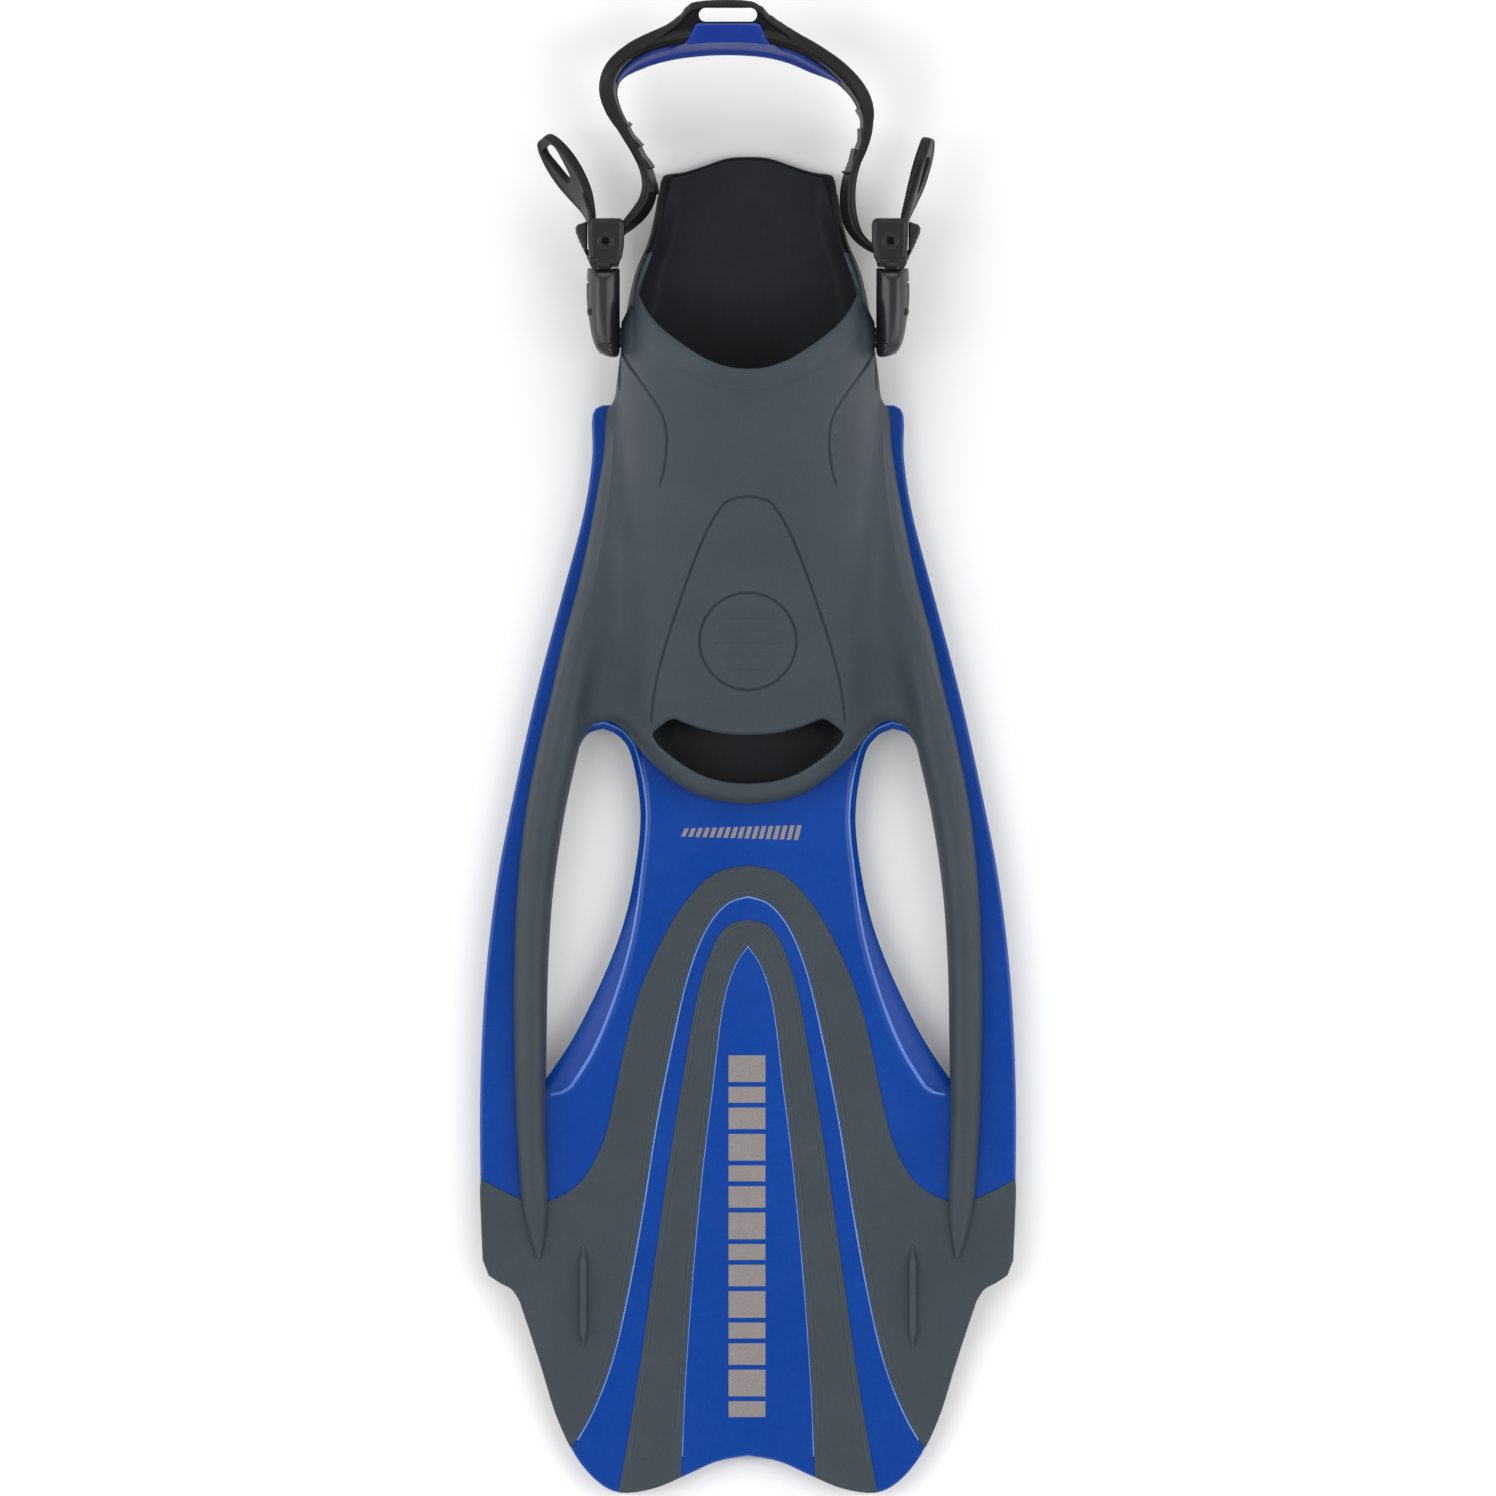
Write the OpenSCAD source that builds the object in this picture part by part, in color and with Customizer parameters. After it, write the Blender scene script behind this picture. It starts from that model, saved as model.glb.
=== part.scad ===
// Open-heel snorkelling fin with quick-release ratchet buckles and a heel strap.
// Frame: +Y towards the heel strap, +Z up out of the instep, X across.
// The origin is on the floor under the middle of the whole fin.

/* [Blade] */
// Width across the widest part of the blade
blade_w = 209; // [200:1:218]
// Thickness of the blue plastic blade
blade_t = 3.2; // [2.8:0.1:3.6]
// How far the tip droops below the flat part of the blade
tip_droop = 6; // [2:0.5:8]
// How far the rubber channels stand proud of the blade, on each face
channel_proud = 0.6; // [0.4:0.1:0.9]

/* [Foot pocket] */
// Outside height of the instep at the front of the foot opening
instep_h = 80; // [76:1:86]
// Wall thickness of the rubber foot pocket
wall = 3.5; // [3:0.1:4]
// Thickness of the sole under the foot
sole_t = 5; // [4.5:0.1:5.5]
// Thickness of the footbed liner
footbed_t = 1.6; // [1.2:0.1:2]

/* [Strap] */
// Width of the heel strap at the buckles
strap_w = 22; // [20:0.5:22]
// Width of the heel strap behind the heel
strap_heel_w = 29; // [26:0.5:30]
// Thickness of the heel strap
strap_t = 2.4; // [2:0.1:2.6]
// Distance between two ratchet teeth
tooth_pitch = 9; // [8:0.5:10]

/* [Buckles] */
// Distance from the fin's centre line to the middle of a strap roller
roller_x = 55.5; // [55:0.1:56]
// Radius of a strap roller
roller_r = 3.1; // [2.9:0.1:3.2]
// Radius of a swivel post's shank
post_r = 4; // [3.5:0.1:4.5]
// Height of the swivel posts and of the buckles' middle above the floor
buckle_z = 33; // [32:0.5:34]

/* [Hidden] */
$fn = 48;
LEFT = -1;
RIGHT = 1;
tiny = 0.06;
big = 400;
run = 0.06;                        // radial running clearance of a pin in its hole
snug = 0.15;                       // clearance between moulded faces that slide past each other

// Heights in the blade
blade_z = 14;                      // middle of the blade's thickness where it is flat
flat_until = -60;                  // the blade starts to droop forward of this Y
tip_y = -291;                      // furthest point of the blade
web_t = 1.2;                       // blade left inside a channel
skirt_t = 5;                       // rubber skirt over and under the blade, beside the instep

// Places of the buckle's parts
post_y = 160;                      // swivel axis
roller_y = 197.6;
pin_r = 1.5;
strap_bend = roller_r + 0.15 + strap_t / 2;   // radius of the strap's middle round a roller
cheek_t = 2.5;
cheek_z = 11.5;                    // inner faces of the cheeks, above and below the buckle's middle
lever_x = 60.2;                    // pivot of the ratchet lever
lever_y = 189.8;
tab_x = 61.2;                      // pivot of the release tab
tab_y = 170;
small_pin_r = 1.2;                 // trunnions of the lever and of the tab

// ---------- curves ----------

// One point of a Catmull-Rom curve from b to c
function curve_point(a, b, c, d, t) =
    0.5 * (2 * b + (c - a) * t + (2 * a - 5 * b + 4 * c - d) * t * t
           + (3 * b - a - 3 * c + d) * t * t * t);
// A smooth curve through the points p, with n steps from each point to the next
function curve(p, n = 4) = [
    for (i = [0 : len(p) - 2])
        for (k = [0 : n - 1])
            curve_point(p[max(i - 1, 0)], p[i], p[i + 1], p[min(i + 2, len(p) - 1)], k / n),
    p[len(p) - 1]];
function reversed(p) = [for (i = [len(p) - 1 : -1 : 0]) p[i]];
// The other half of an outline, without the points on the centre line
function mirrored(p) = [for (i = [len(p) - 1 : -1 : 0]) if (abs(p[i][0]) > 0.001) [-p[i][0], p[i][1]]];
function both_sides(half) = concat(half, mirrored(half));
// The blade is drawn 209 wide and stretches with blade_w
function wide(p) = [for (q = p) [q[0] * blade_w / 209, q[1]]];
// Middle of the blade's thickness at y
function camber(y) = blade_z - tip_droop * pow(max(flat_until - y, 0) / (flat_until - tip_y), 2);
// Flattened arch of half width a and height h, standing on the height z0
function arch(a, h, z0 = 0, n = 20, power = 0.74) = [
    for (i = [0 : n])
        let (t = 180 * i / n)
        [a * sign(cos(t)) * pow(abs(cos(t)), power), z0 + (h - z0) * pow(abs(sin(t)), power)]];

// ---------- outlines seen from above, right-hand halves ----------

blade_edge = wide(concat(
    [[54, 134], [57, 133.8], [59.5, 132.5], [60.7, 130]],
    curve([[61, 126], [61, 112], [64.5, 90], [73, 58], [82.5, 22], [91, -16], [98, -52], [102.5, -90],
           [104.5, -130], [104.5, -168], [103.3, -200]]),
    curve([[101, -206], [96.5, -209], [92, -211.5], [89, -216]], 3),
    curve([[85.5, -226.5], [80.5, -242], [75, -260], [68.5, -274.5], [62, -283.5], [54.5, -289.5],
           [47, -291], [36, -289], [24, -284], [12, -278.7], [0, -276.5]])));
// Inner edge of the blade's fork, just outside the foot pocket
fork_edge = [[53.1, 134], [53.1, 75], [52.2, 50], [49.8, 25], [47.3, 6], [42.7, -1.2], [37.6, -6.8],
             [30.2, -13.2], [22.4, -18.1], [12.2, -21.3], [0, -22.7]];
vent_edge = wide(curve([
    [56.5, 7.5], [63.5, 4.5], [68.5, -8], [74.3, -35], [78.2, -71], [79.2, -100], [79.2, -127.5],
    [71.5, -118.5], [59.5, -96], [50, -73], [44.6, -51], [42, -26], [45.3, -4]]));
outer_channel_outside = wide(curve([
    [0, -45.8], [12, -48.5], [22, -57], [32, -72], [41.5, -93], [48, -116], [52.5, -138], [57, -155],
    [65.5, -169.5], [78, -176.8], [90, -175.5], [104.6, -168.3]], 3));
outer_channel_inside = wide(curve([
    [69, -273.5], [61, -259.5], [53, -238.5], [46.5, -210], [41, -179], [36, -147], [30.5, -118.5],
    [24, -90], [17, -71.5], [8.8, -61], [0, -57.7]], 3));
inner_channel_outside = wide(curve([
    [0, -67], [8, -69.5], [14, -78.5], [20, -98], [25.3, -128], [31, -163], [37, -205], [42, -240],
    [47, -271], [50.5, -292]], 3));
inner_channel_inside = wide(curve([
    [26.2, -286], [25, -252], [22, -208], [18, -165], [14, -132], [10.3, -102], [5.8, -86], [0, -77]], 3));
// Rubber skirt between the instep and a side rail
skirt_edge = [[43, 6], [47, 5.3], [52, 9.5], [58, 10.6], [63, 8.8], [70, 6], [67, 28], [58.5, 72],
              [52.5, 104], [48, 104]];
window_edge = concat(
    [[0, 5], [10, 5.6], [20, 8], [28.5, 11.5], [32, 10.8], [37, 6.5], [37.3, 4.6]],
    curve([[35.5, 2.5], [29.6, -2.5], [20, -9], [10, -12.6], [0, -13.5]], 3));
heel_edge = concat(
    [[70, -60], [70, 216], [35.4, 217], [34.8, 221], [33.2, 223.6]],
    curve([[31, 224.3], [25, 225], [17, 227.5], [8, 230.5], [0, 231]], 3));
footbed_edge = curve([
    [0, -3], [22, 0], [36, 8], [43, 22], [46.5, 50], [48, 84], [48, 115], [47, 138], [44.5, 158],
    [40.5, 177], [36, 193], [32.5, 207], [31, 220], [24, 223.5], [10, 226.5], [0, 227]], 3);

// ---------- stations along Y ----------

// [y, half width, height] of the outside of the foot pocket
dome = [
    [238, 33, 62], [222, 34.5, 66], [210, 36.2, 70], [198, 39, 74], [187, 42.5, 77], [177, 45.2, 79],
    [165, 47.8, 80], [150, 50.4, 80], [134, 52, 76.5], [110, 52.5, 70.5], [80, 52.5, 62], [50, 51.5, 53],
    [25, 49, 45], [5, 46.5, 38], [-1, 42, 34], [-6.5, 37, 30], [-12.8, 29.6, 26], [-17.7, 22, 22.5],
    [-20.8, 12, 20], [-22.2, 3, 18.5]];
cavity_last = 16;                  // the foot's space ends at this station
// [y, inner edge, outer edge, half height] of a side rail
rail = [
    [130, 45, 53.8, 5], [118, 45.5, 54.2, 9], [100, 46.5, 58, 12], [66, 52, 65.6, 14], [43, 58, 71.8, 14.5],
    [21, 62.5, 76.8, 14.5], [0, 66, 82, 14], [-26, 71.6, 87, 13.5], [-56, 76, 90.2, 12.5],
    [-86, 78, 91.4, 11.5], [-116, 78.6, 91.4, 10], [-145, 79, 90.6, 8], [-175, 78.2, 88.6, 5.5],
    [-190, 79, 85.8, 3.8], [-199, 80.8, 82.4, 2.4]];
rail_lift = 1.8;                   // a rail's middle above the blade's
// Edge of the foot opening seen from the side, [y, z] from front to back
opening_edge = [[146.5, 90], [146.5, 82], [151, 77.5], [157.5, 72], [167, 63.5], [177, 54.5], [187, 45.5],
                [198, 34], [206, 23], [212, 15], [220, 9], [226, 7], [250, 7], [250, 120], [146.5, 120]];
// The black tray's side view, up to where the grey upper begins
tray_edge = [[-40, 8], [164, 8], [174, 20], [190, 48], [200, 120], [260, 120], [260, -10], [-40, -10]];

// ---------- general shapes ----------

module on_side(side) mirror([side == LEFT ? 1 : 0, 0, 0]) children();
function flip(side, p) = side == LEFT ? [for (q = p) [-q[0], q[1]]] : p;
// An outline in the YZ plane, through the whole width
module across_x(points) rotate([90, 0, 90]) linear_extrude(big, center = true) polygon(points);
// An outline seen from above, through the whole height
module upright() translate([0, 0, -20]) linear_extrude(160) children();
// A layer between two heights measured from the middle of the blade
module layer(low, high, steps = 14) {
    ys = concat([140], [for (i = [0 : steps]) flat_until - (flat_until - tip_y + 5) * i / steps]);
    across_x(concat([for (y = ys) [y, camber(y) + low]], [for (y = reversed(ys)) [y, camber(y) + high]]));
}
// A thin cross-section at y
module at_y(y) translate([0, y, 0]) rotate([90, 0, 0]) linear_extrude(tiny, center = true) children();

// ---------- blade ----------

module blade_plan() difference() {
    polygon(concat(blade_edge, mirrored(blade_edge), [for (q = fork_edge) [-q[0], q[1]]],
                   reversed([for (i = [0 : len(fork_edge) - 2]) fork_edge[i]])));
    for (side = [LEFT, RIGHT])
        polygon(flip(side, vent_edge));
}
module outer_channel_plan()
    polygon(both_sides(concat(outer_channel_outside, [[130, -168], [130, -300], [80, -300]],
                              outer_channel_inside)));
module inner_channel_plan()
    polygon(both_sides(concat(inner_channel_outside, [[50.5, -300], [26.2, -300]], inner_channel_inside)));
// The web of hard blade inside the channels, which wrap round its edge
module web() intersection() {
    layer(-web_t / 2, web_t / 2);
    upright() polygon([for (q = both_sides(blade_edge)) [q[0] * 0.98, q[1] * 0.993]]);
}
module blade_slab() intersection() {
    layer(-blade_t / 2, blade_t / 2);
    upright() blade_plan();
}
module blade_core() color([0.05, 0.2, 0.6]) difference() {
    blade_slab();
    difference() {
        upright() {
            outer_channel_plan();
            inner_channel_plan();
        }
        web();
    }
}
module channel_slab() intersection() {
    layer(-blade_t / 2 - channel_proud, blade_t / 2 + channel_proud);
    upright() intersection() {
        polygon(both_sides(blade_edge));
        children();
    }
}
module channel() difference() {
    channel_slab() children();
    web();
}
// A low rib near each blade corner, with sloping ends
module strake() intersection() {
    across_x([[-193, 9], [-199, 16.8], [-229, 15.2], [-235, 8], [-230, 6], [-199, 8]]);
    upright() hull() {
        translate([64.3, -196])
            circle(2, $fn = 24);
        translate([64.3, -232])
            circle(2, $fn = 24);
    }
}
module outer_channel() color([0.28, 0.31, 0.34]) union() {
    channel() outer_channel_plan();
    difference() {
        on_side(LEFT) strake();
        layer(-big, web_t);
    }
    difference() {
        on_side(RIGHT) strake();
        layer(-big, web_t);
    }
}
module inner_channel() color([0.28, 0.31, 0.34]) channel() inner_channel_plan();

// ---------- side rails ----------

module rail_section(s) {
    middle = camber(s[0]) + rail_lift;
    half_w = (s[2] - s[1]) / 2;
    at_y(s[0]) polygon([
        for (i = [0 : 19])
            let (t = 18 * i)
            [(s[1] + s[2]) / 2 + half_w * sign(cos(t)) * pow(abs(cos(t)), 0.75),
             middle + s[3] * sign(sin(t)) * pow(abs(sin(t)), 0.9)]]);
}
module rail_body(side) on_side(side) scale([blade_w / 209, 1, 1])
    for (i = [0 : len(rail) - 2])
        hull() {
            rail_section(rail[i]);
            rail_section(rail[i + 1]);
        }
module side_rail(side) color([0.28, 0.31, 0.34]) difference() {
    rail_body(side);
    dome_body();
    blade_slab();
    channel_slab() outer_channel_plan();
}

// ---------- foot pocket ----------

module dome_body()
    for (i = [0 : len(dome) - 2])
        hull()
            for (s = [dome[i], dome[i + 1]])
                at_y(s[0]) polygon(arch(s[1], s[2] * instep_h / 80));
module cavity()
    for (i = [0 : cavity_last - 1])
        hull()
            for (s = [dome[i], dome[i + 1]])
                at_y(s[0] == 238 ? 250 : s[0])
                    polygon(arch(s[1] - wall, s[2] * instep_h / 80 - wall, sole_t));
module post_axis(x) translate([x, post_y, buckle_z]) rotate([0, 90, 0]) children();
// Round pad on the wall that carries the swivel post
module swivel_pad(side) on_side(side) post_axis(38) cylinder(r = 11, h = 11.4);
module skirt() intersection() {
    layer(-blade_t / 2 - skirt_t, blade_t / 2 + skirt_t);
    upright() for (side = [LEFT, RIGHT])
        polygon(flip(side, skirt_edge));
}
module foot_pocket() color([0.28, 0.31, 0.34]) difference() {
    union() {
        dome_body();
        skirt();
        swivel_pad(LEFT);
        swivel_pad(RIGHT);
    }
    cavity();
    across_x(tray_edge);
    across_x(opening_edge);
    upright() difference() {
        translate([-100, 100])
            square([200, 200]);
        polygon(both_sides(heel_edge));
    }
    translate([0, 0, sole_t + 1]) linear_extrude(100)
        polygon(both_sides(window_edge));
    rail_body(LEFT);
    rail_body(RIGHT);
    blade_slab();
    for (side = [LEFT, RIGHT])
        on_side(side) {
            post_axis(49.4) cylinder(r = 21, h = 20);
            post_axis(30) cylinder(r = 8.1, h = 15.4);
            post_axis(40) cylinder(r = post_r + 0.05, h = 20);
        }
}
module heel_tray() color([0.13, 0.14, 0.15]) difference() {
    intersection() {
        dome_body();
        across_x(tray_edge);
        upright() polygon(both_sides(heel_edge));
    }
    cavity();
    across_x(opening_edge);
    blade_slab();
    rail_body(LEFT);
    rail_body(RIGHT);
}
module footbed() color([0.1, 0.1, 0.11]) translate([0, 0, sole_t]) linear_extrude(footbed_t)
    polygon(both_sides(footbed_edge));

// ---------- buckles, drawn on the right-hand side ----------

module swivel_post(side) on_side(side) color([0.3, 0.3, 0.32]) union() {
    post_axis(43.2) cylinder(r = 8, h = 2.2, $fn = 72);
    post_axis(45) cylinder(r = post_r, h = 9.6, $fn = 72);
    post_axis(54.4) cylinder(r = 6.3, h = 3.5, $fn = 72);
}
receiver_plan = concat(
    [[50, 187.2], [50, 153.2], [50.8, 151.9], [52.5, 151.6]],
    curve([[55, 151.8], [58.8, 153.2], [61.5, 157], [62.7, 162.5], [63, 168.5]], 3), [[63, 187.2]]);
module receiver(side) on_side(side) color([0.25, 0.25, 0.27]) difference() {
    intersection() {
        upright() polygon(receiver_plan);
        rotate([90, 0, 90]) linear_extrude(100) hull() {
            translate([157.6, buckle_z - 7.5])
                circle(6, $fn = 48);
            translate([157.6, buckle_z + 7.5])
                circle(6, $fn = 48);
            translate([180, buckle_z - 13.5])
                square([7.2, 27]);
        }
    }
    post_axis(49) cylinder(r = post_r + run, h = 6, $fn = 72);
    post_axis(54) cylinder(r = 6.8, h = 4.4, $fn = 72);
    translate([53, 168, buckle_z - 10.5])
        cube([5.6, 30, 21]);
    translate([59.4, 157.2, buckle_z - 7.5])
        cube([10, 24.8, 15]);
    translate([58, 176.4, buckle_z - 3.2])
        cube([3, 4.2, 6.4]);
    translate([tab_x, tab_y, buckle_z - 10])
        cylinder(r = small_pin_r + run, h = 20, $fn = 32);
}
module release_tab(side) on_side(side) color([0.28, 0.28, 0.3]) union() {
    translate([0, 0, buckle_z - 7.2]) linear_extrude(14.4) {
        polygon([[60.5, 158.2], [61.2, 157.9], [61.8, 158.6], [62.5, 163], [62.9, 168], [62.9, 180.8],
                 [62.3, 181.4], [60.5, 181.4]]);
        translate([tab_x, tab_y])
            circle(1.5, $fn = 32);
    }
    translate([58.65, 176.8, buckle_z - 2.9])
        cube([2.2, 3.4, 5.8]);
    translate([tab_x, tab_y, buckle_z - 9.7])
        cylinder(r = small_pin_r, h = 19.4, $fn = 32);
}
cheek_edge = [[49.6, 188.6], [50.2, 187.6], [60.6, 187.6], [62, 189], [62, 204.6], [60.2, 206.4],
              [50, 206.4], [48.2, 204.6], [48.2, 190.2], [48.6, 189.2]];
module buckle_frame(side) on_side(side) color([0.22, 0.22, 0.24]) difference() {
    union() {
        for (z = [-cheek_z - cheek_t, cheek_z])
            translate([0, 0, buckle_z + z]) linear_extrude(cheek_t)
                polygon(cheek_edge);
        translate([50.6, 187.6, buckle_z - cheek_z - 1])
            cube([7.2, 2.4, 2 * cheek_z + 2]);
        translate([53 + snug, 170, buckle_z - 10.5 + snug])
            cube([5.6 - 2 * snug, 18.6, 21 - 2 * snug]);
    }
    translate([roller_x, roller_y, 0])
        cylinder(r = pin_r, h = 80, $fn = 32);
    translate([lever_x, lever_y, 0])
        cylinder(r = small_pin_r + run, h = 80, $fn = 32);
    translate([57.8, 176.2, buckle_z - 3.4])
        cube([3, 4.6, 6.8]);
}
module roller_pin(side) on_side(side) color([0.6, 0.6, 0.6])
    translate([roller_x, roller_y, buckle_z - cheek_z - cheek_t + 0.4])
        cylinder(r = pin_r, h = 2 * (cheek_z + cheek_t) - 0.8, $fn = 32);
module strap_roller(side) on_side(side) color([0.35, 0.35, 0.36])
    translate([roller_x, roller_y, buckle_z - cheek_z + 0.2])
        difference() {
            cylinder(r = roller_r, h = 2 * cheek_z - 0.4, $fn = 48);
            translate([0, 0, -1])
                cylinder(r = pin_r + run, h = 40, $fn = 32);
        }
module ratchet_lever(side) on_side(side) color([0.2, 0.2, 0.22]) union() {
    translate([0, 0, buckle_z - 10.8]) linear_extrude(18)
        union() {
            translate([lever_x, lever_y])
                circle(2, $fn = 32);
            polygon([[60.2, 191.8], [62.45, 194.2], [63.6, 194.2], [62.6, 190.6], [61.2, 188.1]]);
            polygon([[58.75, 192.2], [58.2, 190], [60.2, 191.8]]);
        }
    translate([0, 0, buckle_z - 10.8]) linear_extrude(21.6)
        polygon([[62.45, 192.6], [62.45, 204.6], [63, 205], [65.6, 203.2], [66, 202.4], [66, 201],
                 [64.7, 197.2], [63.2, 192.6]]);
    translate([lever_x, lever_y, buckle_z - cheek_z - cheek_t + 0.2])
        cylinder(r = small_pin_r, h = 2 * (cheek_z + cheek_t) - 0.4, $fn = 32);
}
// Torsion spring on the lever's trunnion, above its hub
module lever_spring(side) on_side(side) color([0.7, 0.7, 0.72]) {
    coil = [for (i = [0 : 36])
        [lever_x + 1.75 * cos(90 - 30 * i), lever_y + 1.75 * sin(90 - 30 * i), buckle_z + 7.8 + i / 13]];
    turns = concat([[62.2, 191.6, buckle_z + 7.8]], coil, [[57.6, 191.3, buckle_z + 7.8 + 36 / 13]]);
    difference() {
        for (i = [0 : len(turns) - 2])
            hull() {
                translate(turns[i])
                    sphere(0.25, $fn = 8);
                translate(turns[i + 1])
                    sphere(0.25, $fn = 8);
            }
        translate([0, 0, -50])
            cube(1);
    }
}

// ---------- heel strap ----------

// [x, y, z of the middle, width, lean of the top edge to the outside, thickness]
function bend_left(a) = [-roller_x + strap_bend * cos(a), roller_y + strap_bend * sin(a), buckle_z, strap_w, 0,
                         strap_t];
function bend_right(a) = [roller_x + strap_bend * cos(a), roller_y + strap_bend * sin(a), buckle_z, strap_w, 0,
                          strap_t];
left_tail = [
    [-79, 237.6, 33, 9, 35, 3.2], [-77, 234.6, 33, 15, 35, 3.2], [-73.5, 229.4, 33, 19.5, 35, 3.2],
    [-69.4, 223, 33, 21, 31, 3.2], [-65, 215.8, 33, 22, 18, 3], [-62, 209, 33, strap_w, 6, 2.6],
    [-60.6, 203, 33, strap_w, 0, strap_t]];
right_tail = [
    [60.6, 203, 33, strap_w, 0, strap_t], [61.6, 207.6, 33, strap_w, 0, 2.6], [63.6, 213.4, 33, 22, 0, 3],
    [65.8, 220, 33, 22, 0, 3.4], [67.8, 227, 33, 21, 0, 3.6], [69.2, 233, 33, 17, 0, 3.6],
    [70, 237.4, 33, 9, 0, 3.4]];
heel_w = strap_heel_w;
loop = [
    [-49.6, 201.2, 33, strap_w, 0, strap_t], [-46.2, 204.6, 33, strap_w, 0, strap_t],
    [-42.3, 208.8, 33, strap_w, 0, strap_t], [-39.4, 213.6, 33, strap_w, 0, strap_t],
    [-38.4, 219.6, 33, strap_w, 0, strap_t], [-40, 226.4, 33, strap_w, 0, strap_t],
    [-43.6, 233.6, 33, 23, 2, strap_t], [-48, 241, 33, 24.5, 5, strap_t], [-52, 248.6, 33.5, 26.5, 9, 2.6],
    [-54, 256.6, 34, heel_w - 1, 12, 2.8], [-51.5, 264.2, 35, heel_w, 16, 3],
    [-44.5, 269.8, 35.5, heel_w, 19, 3], [-34.3, 273.4, 36, heel_w, 20, 3], [-22.6, 275.4, 36, heel_w, 20, 3],
    [-8, 276.2, 36, heel_w, 20, 3], [7.5, 275.2, 36, heel_w, 20, 3], [20.3, 271.5, 36, heel_w, 19, 3],
    [31.6, 265.6, 35.5, heel_w, 16, 3], [40.4, 258, 34.5, heel_w - 1, 12, 2.8],
    [45.2, 250.2, 33.5, 26.5, 9, 2.6], [46.2, 242.6, 33, 24.5, 5, strap_t], [44.5, 235, 33, 23, 2, strap_t],
    [41.2, 227.4, 33, strap_w, 0, strap_t], [39.2, 219.6, 33, strap_w, 0, strap_t],
    [38.9, 212, 33, strap_w, 0, strap_t], [40, 205.4, 33, strap_w, 0, strap_t],
    [42.6, 200, 33, strap_w, 0, strap_t], [46.4, 196.2, 33, strap_w, 0, strap_t],
    [50.2, 194.2, 33, strap_w, 0, strap_t]];
strap_line = curve(concat(
    left_tail, [for (a = [180 : 22.5 : 360]) bend_left(a)], loop,
    [for (a = [252 : 21.6 : 360]) bend_right(a)], right_tail), 2);
n_strap = len(strap_line);
function heading(i) =
    let (a = strap_line[max(i - 1, 0)], b = strap_line[min(i + 1, n_strap - 1)])
    atan2(b[1] - a[1], b[0] - a[0]);
// The point at station i that lies out and up from the strap's middle, along its own leaning axes
function strap_point(i, out, up) =
    let (p = strap_line[i], h = heading(i), lean = p[4], side = out * cos(lean) + up * sin(lean))
    [p[0] - sin(h) * side, p[1] + cos(h) * side, p[2] + buckle_z - 33 + up * cos(lean) - out * sin(lean)];
// Section of a band of thickness t and width w, with broken corners
function band_ring(i, t, w, out = 0, c = 0.6) = [
    for (q = [[t / 2, w / 2 - c], [t / 2 - c, w / 2], [c - t / 2, w / 2], [-t / 2, w / 2 - c],
              [-t / 2, c - w / 2], [c - t / 2, -w / 2], [t / 2 - c, -w / 2], [t / 2, c - w / 2]])
        strap_point(i, q[0] + out, q[1])];
// A solid through rings of equally many points
module swept(rings) {
    n = len(rings[0]);
    last = (len(rings) - 1) * n;
    polyhedron(
        [for (r = rings) each r],
        concat(
            [[for (k = [0 : n - 1]) k]],
            [for (i = [0 : n : last - n])
                for (k = [0 : n - 1])
                    let (m = (k + 1) % n)
                    each [[i + k, i + n + k, i + n + m], [i + k, i + n + m, i + m]]],
            [[for (k = [n - 1 : -1 : 0]) last + k]]));
}
// Distance along the strap to each station
along = [for (i = 0, s = 0;
              i < n_strap;
              s = s + (i < n_strap - 1 ? norm([for (k = [0, 1]) strap_line[i + 1][k] - strap_line[i][k]]) : 0),
              i = i + 1) s];
function station_at(s) = max([for (i = [0 : n_strap - 1]) if (along[i] <= s) i]);
// One ratchet tooth on the strap's inner side, from s onward
module tooth(s) {
    first = station_at(s);
    last = max(station_at(s + tooth_pitch * 0.75), first + 1);
    w = strap_w / 2 - 2.5;
    swept([for (q = [[first, 1], [last, 0.3]])
        [for (c = [[0.6, w], [-q[1], w], [-q[1], -w], [0.6, -w]])
            strap_point(q[0], c[0] - strap_t / 2, c[1])]]);
}
loop_start = 2 * (len(left_tail) + 9);
handle = [
    [[-43, 274.4, 46], [-42.6, 275.4, 48.6]], [[-35, 277.4, 46], [-33, 281, 51.5]],
    [[-27, 279.2, 46], [-25.2, 286.4, 57]], [[-21, 280.1, 46], [-20.4, 289.3, 60]],
    [[-8, 280.7, 46], [-8.2, 289.6, 60.4]], [[4, 280.1, 46], [3.8, 289.3, 60]], [[10, 279.2, 46], [9, 286.4, 57]],
    [[18, 276.6, 46], [16, 280.2, 51.5]], [[27, 272.6, 46], [26.4, 273.8, 48.6]]];
module heel_strap() color([0.12, 0.12, 0.13]) difference() {
    union() {
        swept([for (i = [0 : n_strap - 1]) band_ring(i, strap_line[i][5], strap_line[i][3])]);
        for (s = [along[loop_start + 10] : tooth_pitch : along[loop_start + 18]])
            tooth(s);
        for (s = [along[loop_start + 40] : tooth_pitch : along[loop_start + 50]])
            tooth(s);
        for (i = [0 : len(handle) - 2])
            hull()
                for (p = concat(handle[i], handle[i + 1]))
                    translate(p)
                        sphere(1.4, $fn = 12);
    }
    translate([-7.8, 285.3, 40]) linear_extrude(40)
        hull()
            for (x = [-9, 9])
                translate([x, 0])
                    circle(2.6, $fn = 20);
    translate([66.3, 222, 33])
        rotate([0, 0, -17])
            cube([20, 15, 10], center = true);
    translate([-71.6, 226.4, 33])
        rotate([0, 0, 32])
            rotate([0, 35, 0])
                cube([20, 11, 9.5], center = true);
}
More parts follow.
